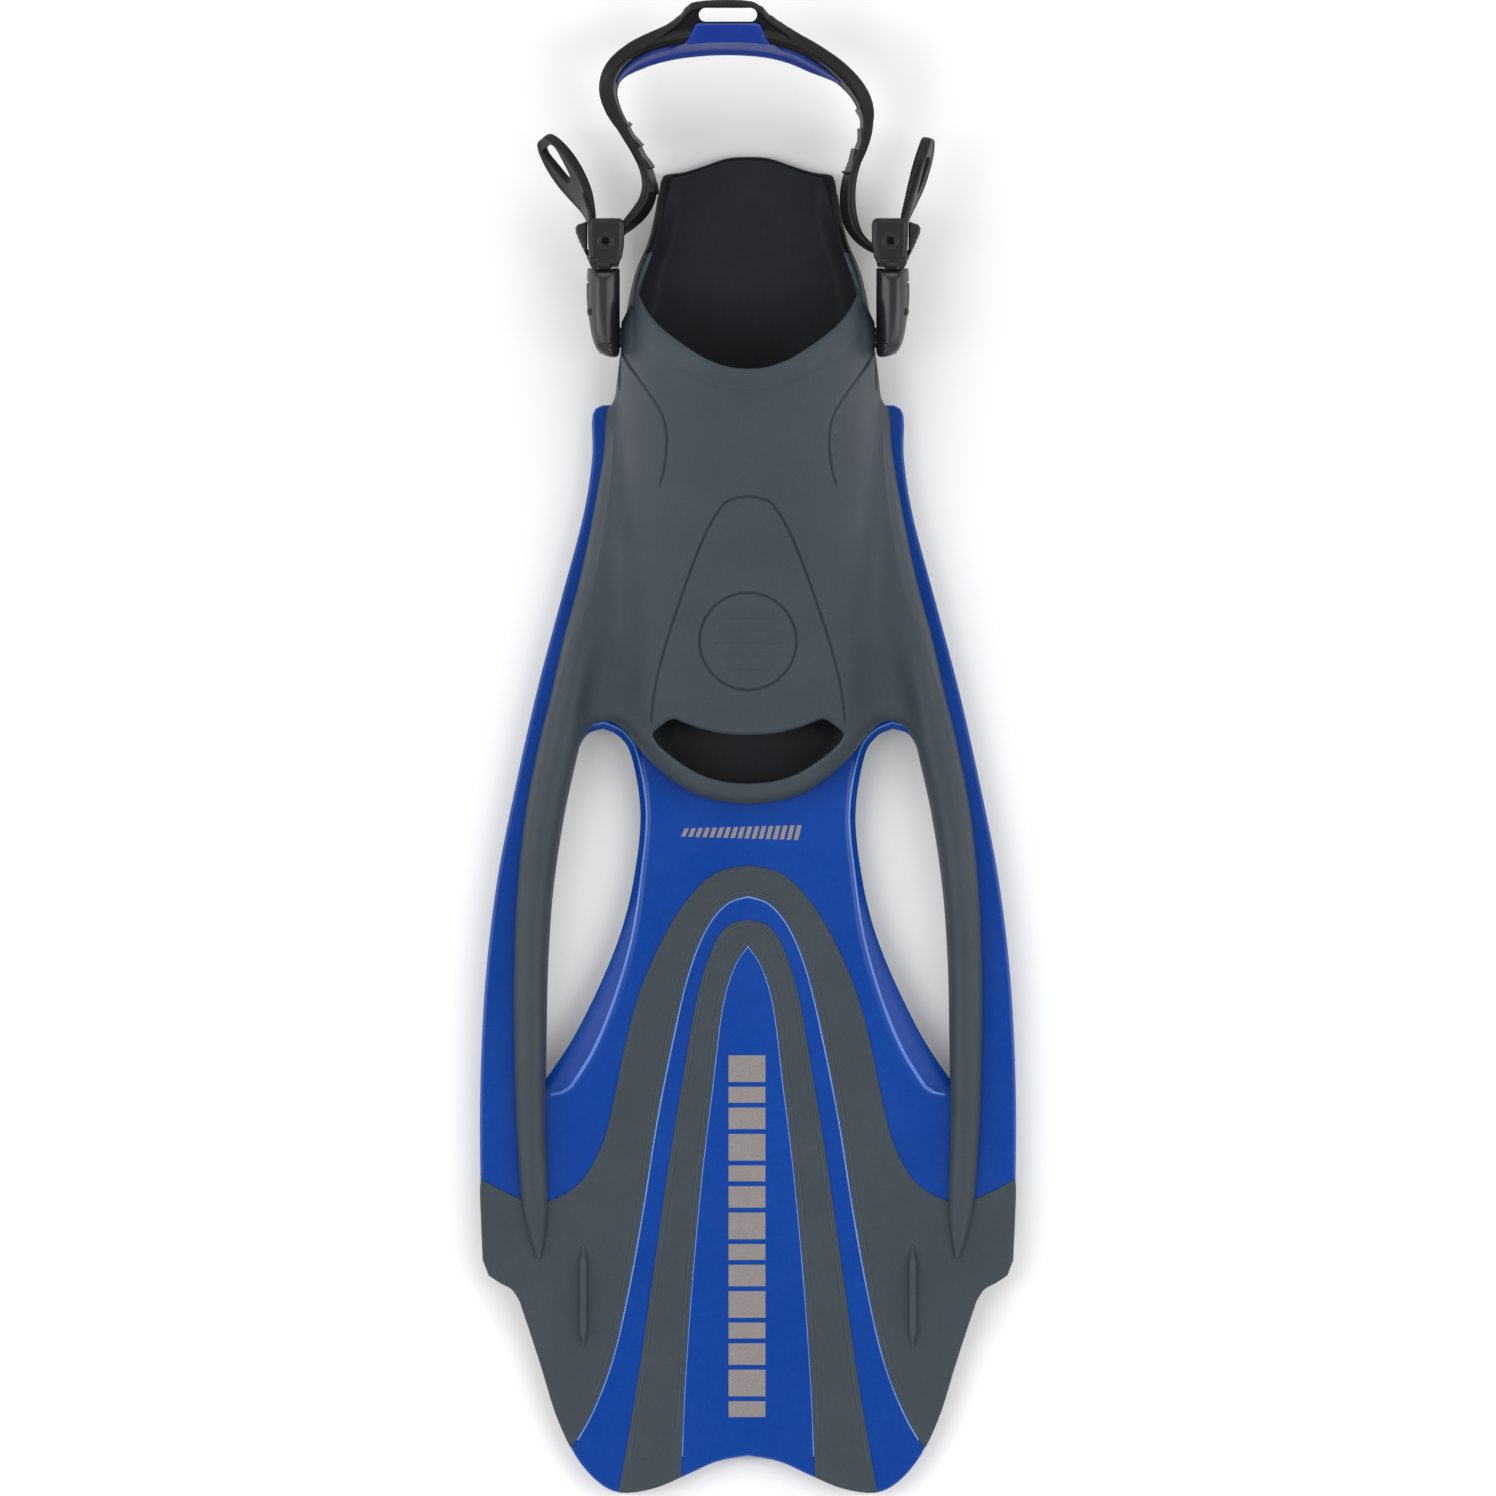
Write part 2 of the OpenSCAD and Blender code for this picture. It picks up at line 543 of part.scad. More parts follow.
pad_t = 2;                         // thickness of the soft pad
pad_gap = 0.4;                     // room for its glue, behind the leaning strap
pad_first = loop_start + 18;
pad_last = loop_start + 36;
// The pad's width at station i, narrower at its two ends
function pad_w(i) = heel_w - 3 - [10, 4, 0][min(i - pad_first, pad_last - i, 2)];
module heel_pad() color([0.12, 0.28, 0.65])
    swept([for (i = [pad_first : pad_last])
        band_ring(i, pad_t, pad_w(i), -(strap_line[i][5] + pad_t) / 2 - pad_gap)]);

blade_core();
foot_pocket();
heel_tray();
footbed();
side_rail(LEFT);  // left_side_rail
side_rail(RIGHT);  // right_side_rail
outer_channel();
inner_channel();
swivel_post(LEFT);  // left_swivel_post
swivel_post(RIGHT);  // right_swivel_post
receiver(LEFT);  // left_receiver
receiver(RIGHT);  // right_receiver
release_tab(LEFT);  // left_release_tab
release_tab(RIGHT);  // right_release_tab
buckle_frame(LEFT);  // left_buckle_frame
buckle_frame(RIGHT);  // right_buckle_frame
roller_pin(LEFT);  // left_roller_pin
roller_pin(RIGHT);  // right_roller_pin
strap_roller(LEFT);  // left_strap_roller
strap_roller(RIGHT);  // right_strap_roller
ratchet_lever(LEFT);  // left_ratchet_lever
ratchet_lever(RIGHT);  // right_ratchet_lever
lever_spring(LEFT);  // left_lever_spring
lever_spring(RIGHT);  // right_lever_spring
heel_strap();
heel_pad();
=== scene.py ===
"""Looks of an open-heel swim fin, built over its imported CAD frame.

Shapes are worked out in millimetres in the frame's own axes: +Y to the heel strap, +Z up, X across.
"""

import math

import bmesh
import bpy
import numpy as np
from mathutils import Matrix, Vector
from mathutils.geometry import delaunay_2d_cdt


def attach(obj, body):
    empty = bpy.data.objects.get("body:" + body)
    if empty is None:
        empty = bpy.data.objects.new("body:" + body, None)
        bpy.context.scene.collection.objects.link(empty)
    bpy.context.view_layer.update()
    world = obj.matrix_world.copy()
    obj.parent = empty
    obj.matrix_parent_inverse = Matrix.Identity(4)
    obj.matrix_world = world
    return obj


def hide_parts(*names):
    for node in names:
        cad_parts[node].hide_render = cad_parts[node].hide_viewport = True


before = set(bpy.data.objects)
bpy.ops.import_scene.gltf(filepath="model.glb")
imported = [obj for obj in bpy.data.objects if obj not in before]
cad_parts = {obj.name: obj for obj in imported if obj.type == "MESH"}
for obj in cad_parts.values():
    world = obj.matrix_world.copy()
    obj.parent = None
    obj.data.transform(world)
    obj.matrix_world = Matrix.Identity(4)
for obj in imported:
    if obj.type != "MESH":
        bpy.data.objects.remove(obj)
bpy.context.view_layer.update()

MM = 0.001
# Grid steps for the strap, for the foot pocket, tray and liner, and for the buckle parts
FINE, COARSE, SMALL = ((0.5, 0.9, 0.32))

# ---------------------------------------------------------------- dimensions in mm, as the frame has them

BLADE_Z = 14.0          # middle of the blade where it is flat
BLADE_HALF = 1.6        # half the blade's thickness
DROOP = 6.0             # how far the tip droops
FLAT_UNTIL = -60.0      # the droop starts forward of this Y
TIP_Y = -291.0
CHANNEL_HALF = 2.2      # half the thickness of the rubber channels
WALL = 3.5              # thickness of the foot pocket's wall
SOLE = 5.0              # thickness of the sole
RAIL_LIFT = 1.8         # how far the side rails' middle stands above the blade's
SKIRT_HALF = 6.6        # depth of the skirt below the blade's middle
POST_Y = 160.0          # the swivel posts' axis is at this Y and at BUCKLE_Z
BUCKLE_Z = 33.0
ROLLER_X, ROLLER_Y, ROLLER_R, PIN_R = 55.5, 197.6, 3.1, 1.5
CHEEK_Z, CHEEK_T = 11.5, 2.5
LEVER_X, LEVER_Y = 60.2, 189.8
TAB_X, TAB_Y = 61.2, 170.0
TRUNNION_R = 1.2
STRAP_W, STRAP_T, PITCH = 22.0, 2.4, 9.0    # the strap's width, thickness and tooth spacing
SIDES = {"left": -1, "right": 1}

# ---------------------------------------------------------------- curves and fields


def curve(points, n=6):
    """Catmull-Rom curve through the points, n steps from each to the next."""
    p = np.asarray(points, float)
    p = np.vstack([p[:1], p, p[-1:]])
    t = np.linspace(0, 1, n, endpoint=False)[:, None]
    out = []
    for a, b, c, d in zip(p, p[1:], p[2:], p[3:]):
        out.append(0.5 * (2 * b + (c - a) * t + (2 * a - 5 * b + 4 * c - d) * t**2
                          + (3 * b - a - 3 * c + d) * t**3))
    return np.vstack(out + [p[-1:]])


def both_sides(half):
    """A closed outline from its right-hand half, which starts or ends on the centre line."""
    half = np.asarray(half, float)
    other = half[::-1] * [-1, 1]
    return np.vstack([half, other[np.abs(other[:, 0]) > 1e-3]])


class Track:
    """A value that changes smoothly along Y, or along the strap, through its stations."""

    def __init__(self, places, values, n=12):
        order = np.argsort(places)
        line = curve(np.column_stack([np.asarray(places, float)[order], np.asarray(values, float)[order]]), n)
        self.at = np.maximum.accumulate(line[:, 0])
        self.value = line[:, 1]
        self.slope = np.gradient(self.value, self.at + 1e-9 * np.arange(len(self.at)))

    def __call__(self, y):
        return np.interp(y, self.at, self.value)

    def rate(self, y):
        return np.interp(y, self.at, self.slope)


def smin(a, b, k):
    """Union of two fields with a fillet about k wide."""
    h = np.maximum(k - np.abs(a - b), 0) / k
    return np.minimum(a, b) - h * h * k / 4


def smax(a, b, k):
    """Intersection of two fields with a rounded edge about k wide."""
    return -smin(-a, -b, k)


def step_up(v, low, high):
    t = np.clip((v - low) / (high - low), 0, 1)
    return t * t * (3 - 2 * t)


def outline_distance(u, v, outline, closed=True):
    """Distance to an outline, negative inside where it is closed."""
    shape = np.broadcast(u, v).shape
    best = np.full(shape, 1e12)
    inside = np.zeros(shape, bool)
    ends = np.roll(outline, -1, 0) if closed else outline[1:]
    for (ax, ay), (bx, by) in zip(outline, ends):
        ex, ey = bx - ax, by - ay
        wx, wy = u - ax, v - ay
        t = np.clip((wx * ex + wy * ey) / max(ex * ex + ey * ey, 1e-12), 0, 1)
        best = np.minimum(best, (wx - t * ex) ** 2 + (wy - t * ey) ** 2)
        if closed and ey != 0:
            inside = inside ^ (((ay <= v) != (by <= v)) & (wx < wy * ex / ey))
    best = np.sqrt(best)
    return np.where(inside, -best, best) if closed else best


def block(x, y, z, low, high):
    """Field of an upright box."""
    d = None
    for v, a, b in zip((x, y, z), low, high):
        e = np.maximum(a - v, v - b)
        d = e if d is None else np.maximum(d, e)
    return d


def gradient_step(field, p, reach):
    """Moves the points p onto the field's zero surface, no further than reach at a time."""
    e = 0.05
    flattest = 0.2
    for _ in range(2):
        x, y, z = p.T
        f = field(x, y, z)
        g = np.column_stack([field(x + e, y, z) - field(x - e, y, z), field(x, y + e, z) - field(x, y - e, z),
                             field(x, y, z + e) - field(x, y, z - e)]) / (2 * e)
        size = np.maximum((g * g).sum(1), flattest**2)
        move = -g * (f / size)[:, None]
        far = np.linalg.norm(move, axis=1)
        p = p + move * np.minimum(1, reach / np.maximum(far, 1e-9))[:, None]
    return p


def surface(field, low, high, step, half=False):
    """Closed mesh of a field's zero surface by dual cells. half meshes X above 0 and mirrors it."""
    low = np.array(low, float)
    if half:
        low[0] = -step / 2
    axes = [low[k] + step * np.arange(int((high[k] - low[k]) / step) + 2) for k in range(3)]
    n = [len(a) for a in axes]
    v = field(axes[0][:, None, None], axes[1][None, :, None], axes[2][None, None, :])
    v = np.broadcast_to(v, n).astype(np.float32)
    inside = v < 0
    count = np.zeros([k - 1 for k in n], np.int8)
    corners = [(a, b, c) for a in (0, 1) for b in (0, 1) for c in (0, 1)]
    for a, b, c in corners:
        count += inside[a:n[0] - 1 + a, b:n[1] - 1 + b, c:n[2] - 1 + c]
    active = (count > 0) & (count < 8)
    cell = np.argwhere(active)
    index = np.full(active.shape, -1, np.int64)
    index[active] = np.arange(len(cell))
    total = np.zeros((len(cell), 3))
    hits = np.zeros(len(cell))
    for a in corners:
        for axis in range(3):
            if a[axis]:
                continue
            b = list(a)
            b[axis] = 1
            va = v[tuple((cell + a).T)]
            vb = v[tuple((cell + b).T)]
            cross = (va < 0) != (vb < 0)
            t = np.where(cross, va / np.where(cross, va - vb, 1), 0)
            place = np.tile(np.array(a, float), (len(cell), 1))
            place[:, axis] += t
            total += place * cross[:, None]
            hits += cross
    points = low + step * (cell + total / hits[:, None])
    points = gradient_step(field, points, 0.7 * step)
    if half:
        points[cell[:, 0] == 0, 0] = 0
    faces = []
    for axis in range(3):
        u, w = [k for k in range(3) if k != axis]
        first = [slice(None)] * 3
        second = [slice(None)] * 3
        first[axis], second[axis] = slice(0, -1), slice(1, None)
        a, b = inside[tuple(first)], inside[tuple(second)]
        edge = np.argwhere(a != b)
        edge = edge[(edge[:, u] > 0) & (edge[:, w] > 0) & (edge[:, u] < n[u] - 1) & (edge[:, w] < n[w] - 1)]
        starts_inside = a[tuple(edge.T)]
        ring = []
        for du, dw in ((-1, -1), (0, -1), (0, 0), (-1, 0)):
            c = edge.copy()
            c[:, u] += du
            c[:, w] += dw
            ring.append(index[tuple(c.T)])
        quad = np.column_stack(ring)
        turn = starts_inside != (axis == 1)
        quad[~turn] = quad[~turn][:, ::-1]
        faces.append(quad)
    faces = np.vstack(faces)
    if half:
        on_axis = cell[:, 0] == 0
        other = np.arange(len(points)) + len(points)
        other[on_axis] = np.arange(len(points))[on_axis]
        points = np.vstack([points, points * [-1, 1, 1]])
        faces = np.vstack([faces, other[faces][:, ::-1]])
    return points, faces


# ---------------------------------------------------------------- meshes


def new_piece(name, points, faces, materials, body, replaces=(), sharp=None):
    """A piece from points in millimetres, riding on a body."""
    mesh = bpy.data.meshes.new(name)
    points = np.asarray(points, float) * MM
    mesh.from_pydata(points.tolist(), [], [list(map(int, f)) for f in faces])
    bm = bmesh.new()
    bm.from_mesh(mesh)
    loose = [v for v in bm.verts if not v.link_faces]
    bmesh.ops.delete(bm, geom=loose, context="VERTS")
    bmesh.ops.recalc_face_normals(bm, faces=bm.faces)
    bm.to_mesh(mesh)
    bm.free()
    mesh.polygons.foreach_set("use_smooth", [True] * len(mesh.polygons))
    if sharp:
        mesh.set_sharp_from_angle(angle=math.radians(sharp))
    for m in materials:
        mesh.materials.append(m)
    piece = bpy.data.objects.new(name, mesh)
    bpy.context.scene.collection.objects.link(piece)
    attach(piece, body)
    if replaces:
        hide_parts(*replaces)
    return piece


def joined(parts):
    """Several (points, faces) as one."""
    points, faces, start = [], [], 0
    for p, f in parts:
        points.append(np.asarray(p, float))
        faces += [[i + start for i in q] for q in f]
        start += len(p)
    return np.vstack(points), faces


def tube(path, radius, sides=8, flat=1.0):
    """Closed tube along a path; radius may change along it, and flat squashes its height."""
    path = np.asarray(path, float)
    radius = np.broadcast_to(radius, len(path))
    way = np.gradient(path, axis=0)
    way /= np.linalg.norm(way, axis=1)[:, None]
    across = np.column_stack([-way[:, 1], way[:, 0], np.zeros(len(path))])
    across /= np.linalg.norm(across, axis=1)[:, None]
    up = np.cross(way, across)
    angle = 2 * np.pi * np.arange(sides) / sides
    rings = (path[:, None] + radius[:, None, None] * (np.cos(angle)[None, :, None] * across[:, None]
                                                      + flat * np.sin(angle)[None, :, None] * up[:, None]))
    points = np.vstack([rings.reshape(-1, 3), path[:1], path[-1:]])
    first, last = len(points) - 2, len(points) - 1
    faces = []
    for i in range(len(path) - 1):
        for k in range(sides):
            m = (k + 1) % sides
            faces.append([i * sides + k, i * sides + m, (i + 1) * sides + m, (i + 1) * sides + k])
    end = (len(path) - 1) * sides
    for k in range(sides):
        m = (k + 1) % sides
        faces.append([first, m, k])
        faces.append([last, end + k, end + m])
    return points, faces


def camber(y):
    """Middle of the blade's thickness at Y."""
    return BLADE_Z - DROOP * (np.maximum(FLAT_UNTIL - y, 0) / (FLAT_UNTIL - TIP_Y)) ** 2


def inset(loop, amount):
    """The loop moved to its left by an amount, which may change along it."""
    back = loop - np.roll(loop, 1, 0)
    ahead = np.roll(loop, -1, 0) - loop
    left = []
    for e in (back, ahead):
        e = e / np.maximum(np.linalg.norm(e, axis=1), 1e-9)[:, None]
        left.append(np.column_stack([-e[:, 1], e[:, 0]]))
    n = left[0] + left[1]
    n /= np.maximum(np.linalg.norm(n, axis=1), 1e-9)[:, None]
    stretch = 1 / np.maximum((n * left[0]).sum(1), 0.6)
    return loop + n * (np.broadcast_to(amount, len(loop)) * stretch)[:, None]


def counter_clockwise(loop):
    x, y = loop.T
    area = (x * np.roll(y, -1) - np.roll(x, -1) * y).sum()
    return loop if area > 0 else loop[::-1]


def filled(loops, grid):
    """Triangles that fill the first loop outside the others, with points on a grid inside."""
    points = np.vstack(loops)
    edges, start = [], 0
    for loop in loops:
        n = len(loop)
        edges += [(start + i, start + (i + 1) % n) for i in range(n)]
        start += n
    low, high = points.min(0), points.max(0)
    gx, gy = np.meshgrid(np.arange(low[0], high[0], grid), np.arange(low[1], high[1], grid))
    gx = (gx + (np.arange(gx.shape[0]) % 2)[:, None] * grid / 2).ravel()
    gy = gy.ravel()
    field = outline_distance(gx, gy, loops[0])
    for hole in loops[1:]:
        field = np.maximum(field, -outline_distance(gx, gy, hole))
    keep = field < -0.35 * grid
    extra = np.column_stack([gx[keep], gy[keep]])
    everything = [Vector(p) for p in np.vstack([points, extra])]
    verts, _, faces, source, _, _ = delaunay_2d_cdt(everything, edges, [], 0, 1e-5, True)
    verts = np.array([tuple(v) for v in verts])
    faces = np.array([f for f in faces if len(f) == 3])
    middle = verts[faces].mean(1)
    inside = outline_distance(middle[:, 0], middle[:, 1], loops[0]) < 0
    for hole in loops[1:]:
        inside &= outline_distance(middle[:, 0], middle[:, 1], hole) > 0
    original = np.array([s[0] if s else -1 for s in source])
    return verts, faces[inside], original, len(points)


def plate(edges, grid=6.0, height=camber):
    """Plate that follows the blade's camber. edges is a list of (loop, profile, is_hole); a profile
    lists (inset, height above the middle) from the lower face round the edge to the upper one."""
    points, faces, first, last = [], [], [], []
    start = 0
    for loop, profile, is_hole in edges:
        loop = counter_clockwise(np.asarray(loop, float))
        n = len(loop)
        for k, (amount, z) in enumerate(profile):
            ring = inset(loop, -np.asarray(amount) if is_hole else np.asarray(amount))
            points.append(np.column_stack([ring, height(ring[:, 1]) + z]))
            if k:
                a, b = start + (k - 1) * n, start + k * n
                faces += [[a + i, a + (i + 1) % n, b + (i + 1) % n, b + i] for i in range(n)]
        first.append((points[-len(profile)], start, profile[0][1]))
        last.append((points[-1], start + (len(profile) - 1) * n, profile[-1][1]))
        start += len(profile) * n
    for caps in (first, last):
        verts, tris, source, n_loop = filled([c[0][:, :2] for c in caps], grid)
        where = np.concatenate([np.arange(len(c[0])) + c[1] for c in caps])
        z = height(verts[:, 1]) + np.max(caps[0][2])
        number = np.empty(len(verts), int)
        fresh = []
        for i, s in enumerate(source):
            if 0 <= s < n_loop:
                number[i] = where[s]
            else:
                number[i] = start + len(fresh)
                fresh.append([verts[i][0], verts[i][1], z[i]])
        points.append(np.array(fresh).reshape(-1, 3))
        start += len(fresh)
        faces += number[tris].tolist()
    return np.vstack(points), faces


def rounded_edge(t, r):
    """Edge profile of a plate of half thickness t with edges rounded to r. A last ring inside the
    rounding keeps the flat faces flat."""
    upper = [(0, t - r), (r * 0.3, t - r * 0.3), (r, t), (r + 0.8, t)]
    return [(amount, -z) for amount, z in upper[::-1]] + upper


# ---------------------------------------------------------------- materials


def linear(rgb):
    """8-bit display colour as scene-linear."""
    c = np.array(rgb) / 255
    return tuple(np.where(c <= 0.04045, c / 12.92, ((c + 0.055) / 1.055) ** 2.4)) + (1.0,)


def set_stops(ramp, stops):
    """Gives a colour ramp node its (position, rgba) stops."""
    elements = ramp.color_ramp.elements
    while len(elements) < len(stops):
        elements.new(0.5)
    for element, (at, rgba) in zip(elements, stops):
        element.position = at
        element.color = rgba


class Nodes:
    """Short forms for making a material's nodes."""

    def __init__(self, name):
        self.material = bpy.data.materials.new(name)
        self.material.use_nodes = True
        self.tree = self.material.node_tree
        self.shader = self.tree.nodes["Principled BSDF"]
        self.place = self.node("ShaderNodeTexCoord").outputs["Object"]

    def node(self, kind, **values):
        n = self.tree.nodes.new(kind)
        for key, value in values.items():
            setattr(n, key, value)
        return n

    def link(self, a, b):
        self.tree.links.new(a, b)
        return b

    def noise(self, size_mm, detail=3.0, rough=0.55, stretch=None):
        """Noise with features about size_mm across."""
        n = self.node("ShaderNodeTexNoise")
        n.inputs["Scale"].default_value = 1000 / size_mm
        n.inputs["Detail"].default_value = detail
        n.inputs["Roughness"].default_value = rough
        source = self.place
        if stretch:
            m = self.node("ShaderNodeMapping")
            m.inputs["Scale"].default_value = stretch
            self.link(source, m.inputs["Vector"])
            source = m.outputs["Vector"]
        self.link(source, n.inputs["Vector"])
        return n.outputs["Fac"]

    def ramp(self, source, stops):
        """Colour ramp; stops are (position, rgba)."""
        r = self.node("ShaderNodeValToRGB")
        set_stops(r, stops)
        self.link(source, r.inputs["Fac"])
        return r.outputs["Color"]

    def spread(self, source, low, high, at=(0.3, 0.7)):
        """Maps a noise onto the range low to high."""
        m = self.node("ShaderNodeMapRange")
        m.inputs["From Min"].default_value, m.inputs["From Max"].default_value = at
        m.inputs["To Min"].default_value, m.inputs["To Max"].default_value = low, high
        self.link(source, m.inputs["Value"])
        return m.outputs["Result"]

    def mix(self, factor, a, b, blend="MIX"):
        m = self.node("ShaderNodeMix", data_type="RGBA", blend_type=blend)
        for value, socket in ((factor, 0), (a, 6), (b, 7)):
            if isinstance(value, (float, int, tuple)):
                m.inputs[socket].default_value = value
            else:
                self.link(value, m.inputs[socket])
        return m.outputs[2]

    def bump(self, source, height_mm, normal=None):
        b = self.node("ShaderNodeBump")
        b.inputs["Distance"].default_value = height_mm * MM
        self.link(source, b.inputs["Height"])
        if normal:
            self.link(normal, b.inputs["Normal"])
        return b.outputs["Normal"]


def moulded(name, dark, light, rough=(0.4, 0.5), grain=0.35, depth=0.02, patch=28, specular=0.5, edge_wear_and_highlight=None,
            scuffs=0.5):
    """Moulded rubber or plastic: fine grain, slow colour patches, handling scuffs, paler edges by pointiness
    that are wear, and on the blue plastics a painted highlight. grain, depth and patch are in millimetres;
    colours are 8-bit."""
    m = Nodes(name)
    patches = m.ramp(m.noise(patch, 4), [(0.3, linear(dark)), (0.7, linear(light))])
    specks = m.spread(m.noise(grain * 3, 2), 0.93, 1.06)
    colour = m.mix(1.0, patches, specks, "MULTIPLY")
    scratch = m.spread(m.noise(9, 5, 0.7, (1.0, 0.12, 1.0)), 0, scuffs, (0.62, 0.8))
    # Pale edge colour: wear on most materials, a painted highlight where a bright edge colour is given, as on
    # the blue blade and its ridges.
    pale = linear(edge_wear_and_highlight or tuple(min(255, c * 1.35 + 8) for c in light))
    edge = m.spread(m.node("ShaderNodeNewGeometry").outputs["Pointiness"], 0, 0.45, (0.53, 0.62))
    colour = m.mix(edge, colour, pale)
    shine = m.spread(m.noise(patch * 0.6, 5), rough[0], rough[1])
    both = m.node("ShaderNodeMath", operation="ADD")
    m.link(shine, both.inputs[0])
    lift = m.node("ShaderNodeMath", operation="MULTIPLY")
    m.link(scratch, lift.inputs[0])
    lift.inputs[1].default_value = 0.12
    m.link(lift.outputs[0], both.inputs[1])
    normal = m.bump(m.noise(grain, 2), depth)
    normal = m.bump(m.noise(grain * 14, 3), depth * 2.2, normal)
    m.link(colour, m.shader.inputs["Base Color"])
    m.link(both.outputs[0], m.shader.inputs["Roughness"])
    m.link(normal, m.shader.inputs["Normal"])
    m.shader.inputs["Specular IOR Level"].default_value = specular
    return m.material


def metal(name, dark, light):
    """Brushed steel."""
    m = Nodes(name)
    lines = m.noise(0.4, 3, 0.6, (1, 1, 0.05))
    m.link(m.ramp(lines, [(0.3, linear(dark)), (0.7, linear(light))]), m.shader.inputs["Base Color"])
    m.link(m.spread(lines, 0.22, 0.42), m.shader.inputs["Roughness"])
    m.link(m.bump(lines, 0.01), m.shader.inputs["Normal"])
    m.shader.inputs["Metallic"].default_value = 1.0
    return m.material


def printed(name):
    """Satin silver-grey ink, slightly worn."""
    m = Nodes(name)
    fleck = m.noise(0.5, 3)
    wear = m.spread(m.noise(4, 4), 0, 0.25, (0.55, 0.75))
    ink = m.ramp(fleck, [(0.35, linear((124, 117, 117))), (0.65, linear((138, 131, 130)))])
    m.link(m.mix(wear, ink, linear((96, 100, 116))), m.shader.inputs["Base Color"])
    m.link(m.spread(fleck, 0.4, 0.55), m.shader.inputs["Roughness"])
    m.link(m.bump(fleck, 0.006), m.shader.inputs["Normal"])
    m.shader.inputs["Metallic"].default_value = 0.15
    return m.material


GREY = moulded("grey_thermoplastic_rubber", (50, 59, 66), (54, 63, 71), (0.5, 0.6), specular=0.3)
BLACK = moulded("black_tray_rubber", (19, 21, 23), (23, 25, 28), (0.5, 0.62), specular=0.15)
# Near-black colour for the faces inside the foot pocket.
INSIDE = moulded("inside_rubber", (20, 21, 23), (25, 27, 29), (0.6, 0.7), specular=0.2, scuffs=0.1)
LINER = moulded("footbed_liner", (30, 33, 37), (35, 38, 43), (0.55, 0.65), grain=0.8, depth=0.03,
                specular=0.2, scuffs=0.1)
# Blue blade plastic; its pale edge colour (70,120,215) is a painted highlight along edges and ridges.
BLUE = moulded("blue_blade_plastic", (0, 55, 137), (2, 60, 146), (0.24, 0.32), grain=0.5, depth=0.005,
               patch=45, specular=0.28, edge_wear_and_highlight=(70, 120, 215), scuffs=0.4)
# Pale blue painted highlight, given to the vent ridges' crests and to the lips beside the channels.
PAINTED_RIDGE_HIGHLIGHT = moulded("blue_ridge_painted_highlight", (56, 100, 180), (88, 130, 202), (0.2, 0.3), grain=0.5, depth=0.005, patch=20,
                specular=0.5, edge_wear_and_highlight=(150, 180, 230))
STRAP = moulded("strap_rubber", (9, 9, 11), (14, 14, 16), (0.42, 0.52), specular=0.3)
PAD = moulded("pad_rubber", (10, 46, 136), (16, 54, 148), (0.4, 0.5), specular=0.35, edge_wear_and_highlight=(90, 120, 190))
BUCKLE = moulded("buckle_plastic", (24, 24, 28), (30, 30, 35), (0.3, 0.38), grain=0.25, depth=0.012,
                 patch=12, specular=0.5)
FRAME = moulded("frame_plastic", (14, 14, 17), (20, 20, 24), (0.34, 0.42), grain=0.25, depth=0.012,
                patch=12, specular=0.4)
LEVER = moulded("lever_plastic", (18, 18, 21), (23, 23, 26), (0.32, 0.42), grain=0.25, depth=0.012,
                patch=10, specular=0.5)
STEEL = metal("stainless_steel", (150, 152, 156), (190, 192, 196))
DARK_STEEL = metal("blackened_steel", (22, 22, 24), (40, 40, 43))
INK = printed("silver_ink")

# ---------------------------------------------------------------- blade outlines, right-hand halves

BLADE_EDGE = np.vstack([
    [[52, 134], [57, 133.8], [59.5, 132.5], [60.7, 130]],
    curve([[61, 126], [61, 112], [64.5, 90], [73, 58], [82.5, 22], [91, -16], [98, -52], [102.5, -90],
           [104.5, -130], [104.5, -168], [103.3, -200]], 8),
    curve([[101, -206], [96.5, -209], [92, -211.5], [89, -216]]),
    curve([[85.5, -226.5], [80.5, -242], [75, -260], [68.5, -274.5], [62, -283.5], [54.5, -289.5],
           [47, -291], [36, -289], [24, -284], [12, -278.7], [0, -276.5]])])
FORK_EDGE = [[51.2, 134], [51.2, 75], [50.4, 50], [48, 26], [45.5, 7.6], [41, 0.6], [36, -5], [29, -11.5],
             [21.5, -16.4], [11.6, -19.6], [0, -21]]
VENT_EDGE = curve([[56.5, 7.5], [63.5, 4.5], [68.5, -8], [74.3, -35], [78.2, -71], [80.2, -100],
                   [84.6, -133.4], [71.5, -118.5], [59.5, -96], [50, -73], [44.6, -51], [42, -26],
                   [45.3, -4], [50, 4.2], [56.5, 7.5]], 8)[:-1]
OUTER_OUTSIDE = curve([[0, -45.8], [12, -48.5], [22, -57], [32, -72], [41.5, -93], [48, -116], [52.5, -138],
                       [57, -155], [65.5, -169.5], [78, -176.8], [90, -175.5], [104.4, -168.3]])
OUTER_INSIDE = curve([[69, -273.5], [61, -259.5], [53, -238.5], [46.5, -210], [41, -179], [36, -147],
                      [30.5, -118.5], [24, -90], [17, -71.5], [8.8, -61], [0, -57.7]])
INNER_OUTSIDE = curve([[0, -67], [8, -69.5], [14, -78.5], [20, -98], [25.3, -128], [31, -163], [37, -205],
                       [42, -240], [47, -271], [50.5, -290.6]])
INNER_INSIDE = curve([[26.2, -284.9], [25, -252], [22, -208], [18, -165], [14, -132], [10.3, -102],
                      [5.8, -86], [0, -77]])
FRONT_BORDER = [[0, -22.2], [12, -20.7], [22, -17.6], [29.6, -12.7], [37, -6.4], [42, -1], [47, 5.4],
                [52, 9.75], [58, 10.6], [63, 9], [72, 5]]


def blade_edge_between(first, last):
    """The points of the blade's edge from one height Y down to another, on its lower right."""
    i = np.argmin(np.hypot(*(BLADE_EDGE - first).T))
    k = np.argmin(np.hypot(*(BLADE_EDGE - last).T))
    return BLADE_EDGE[i + 1:k]


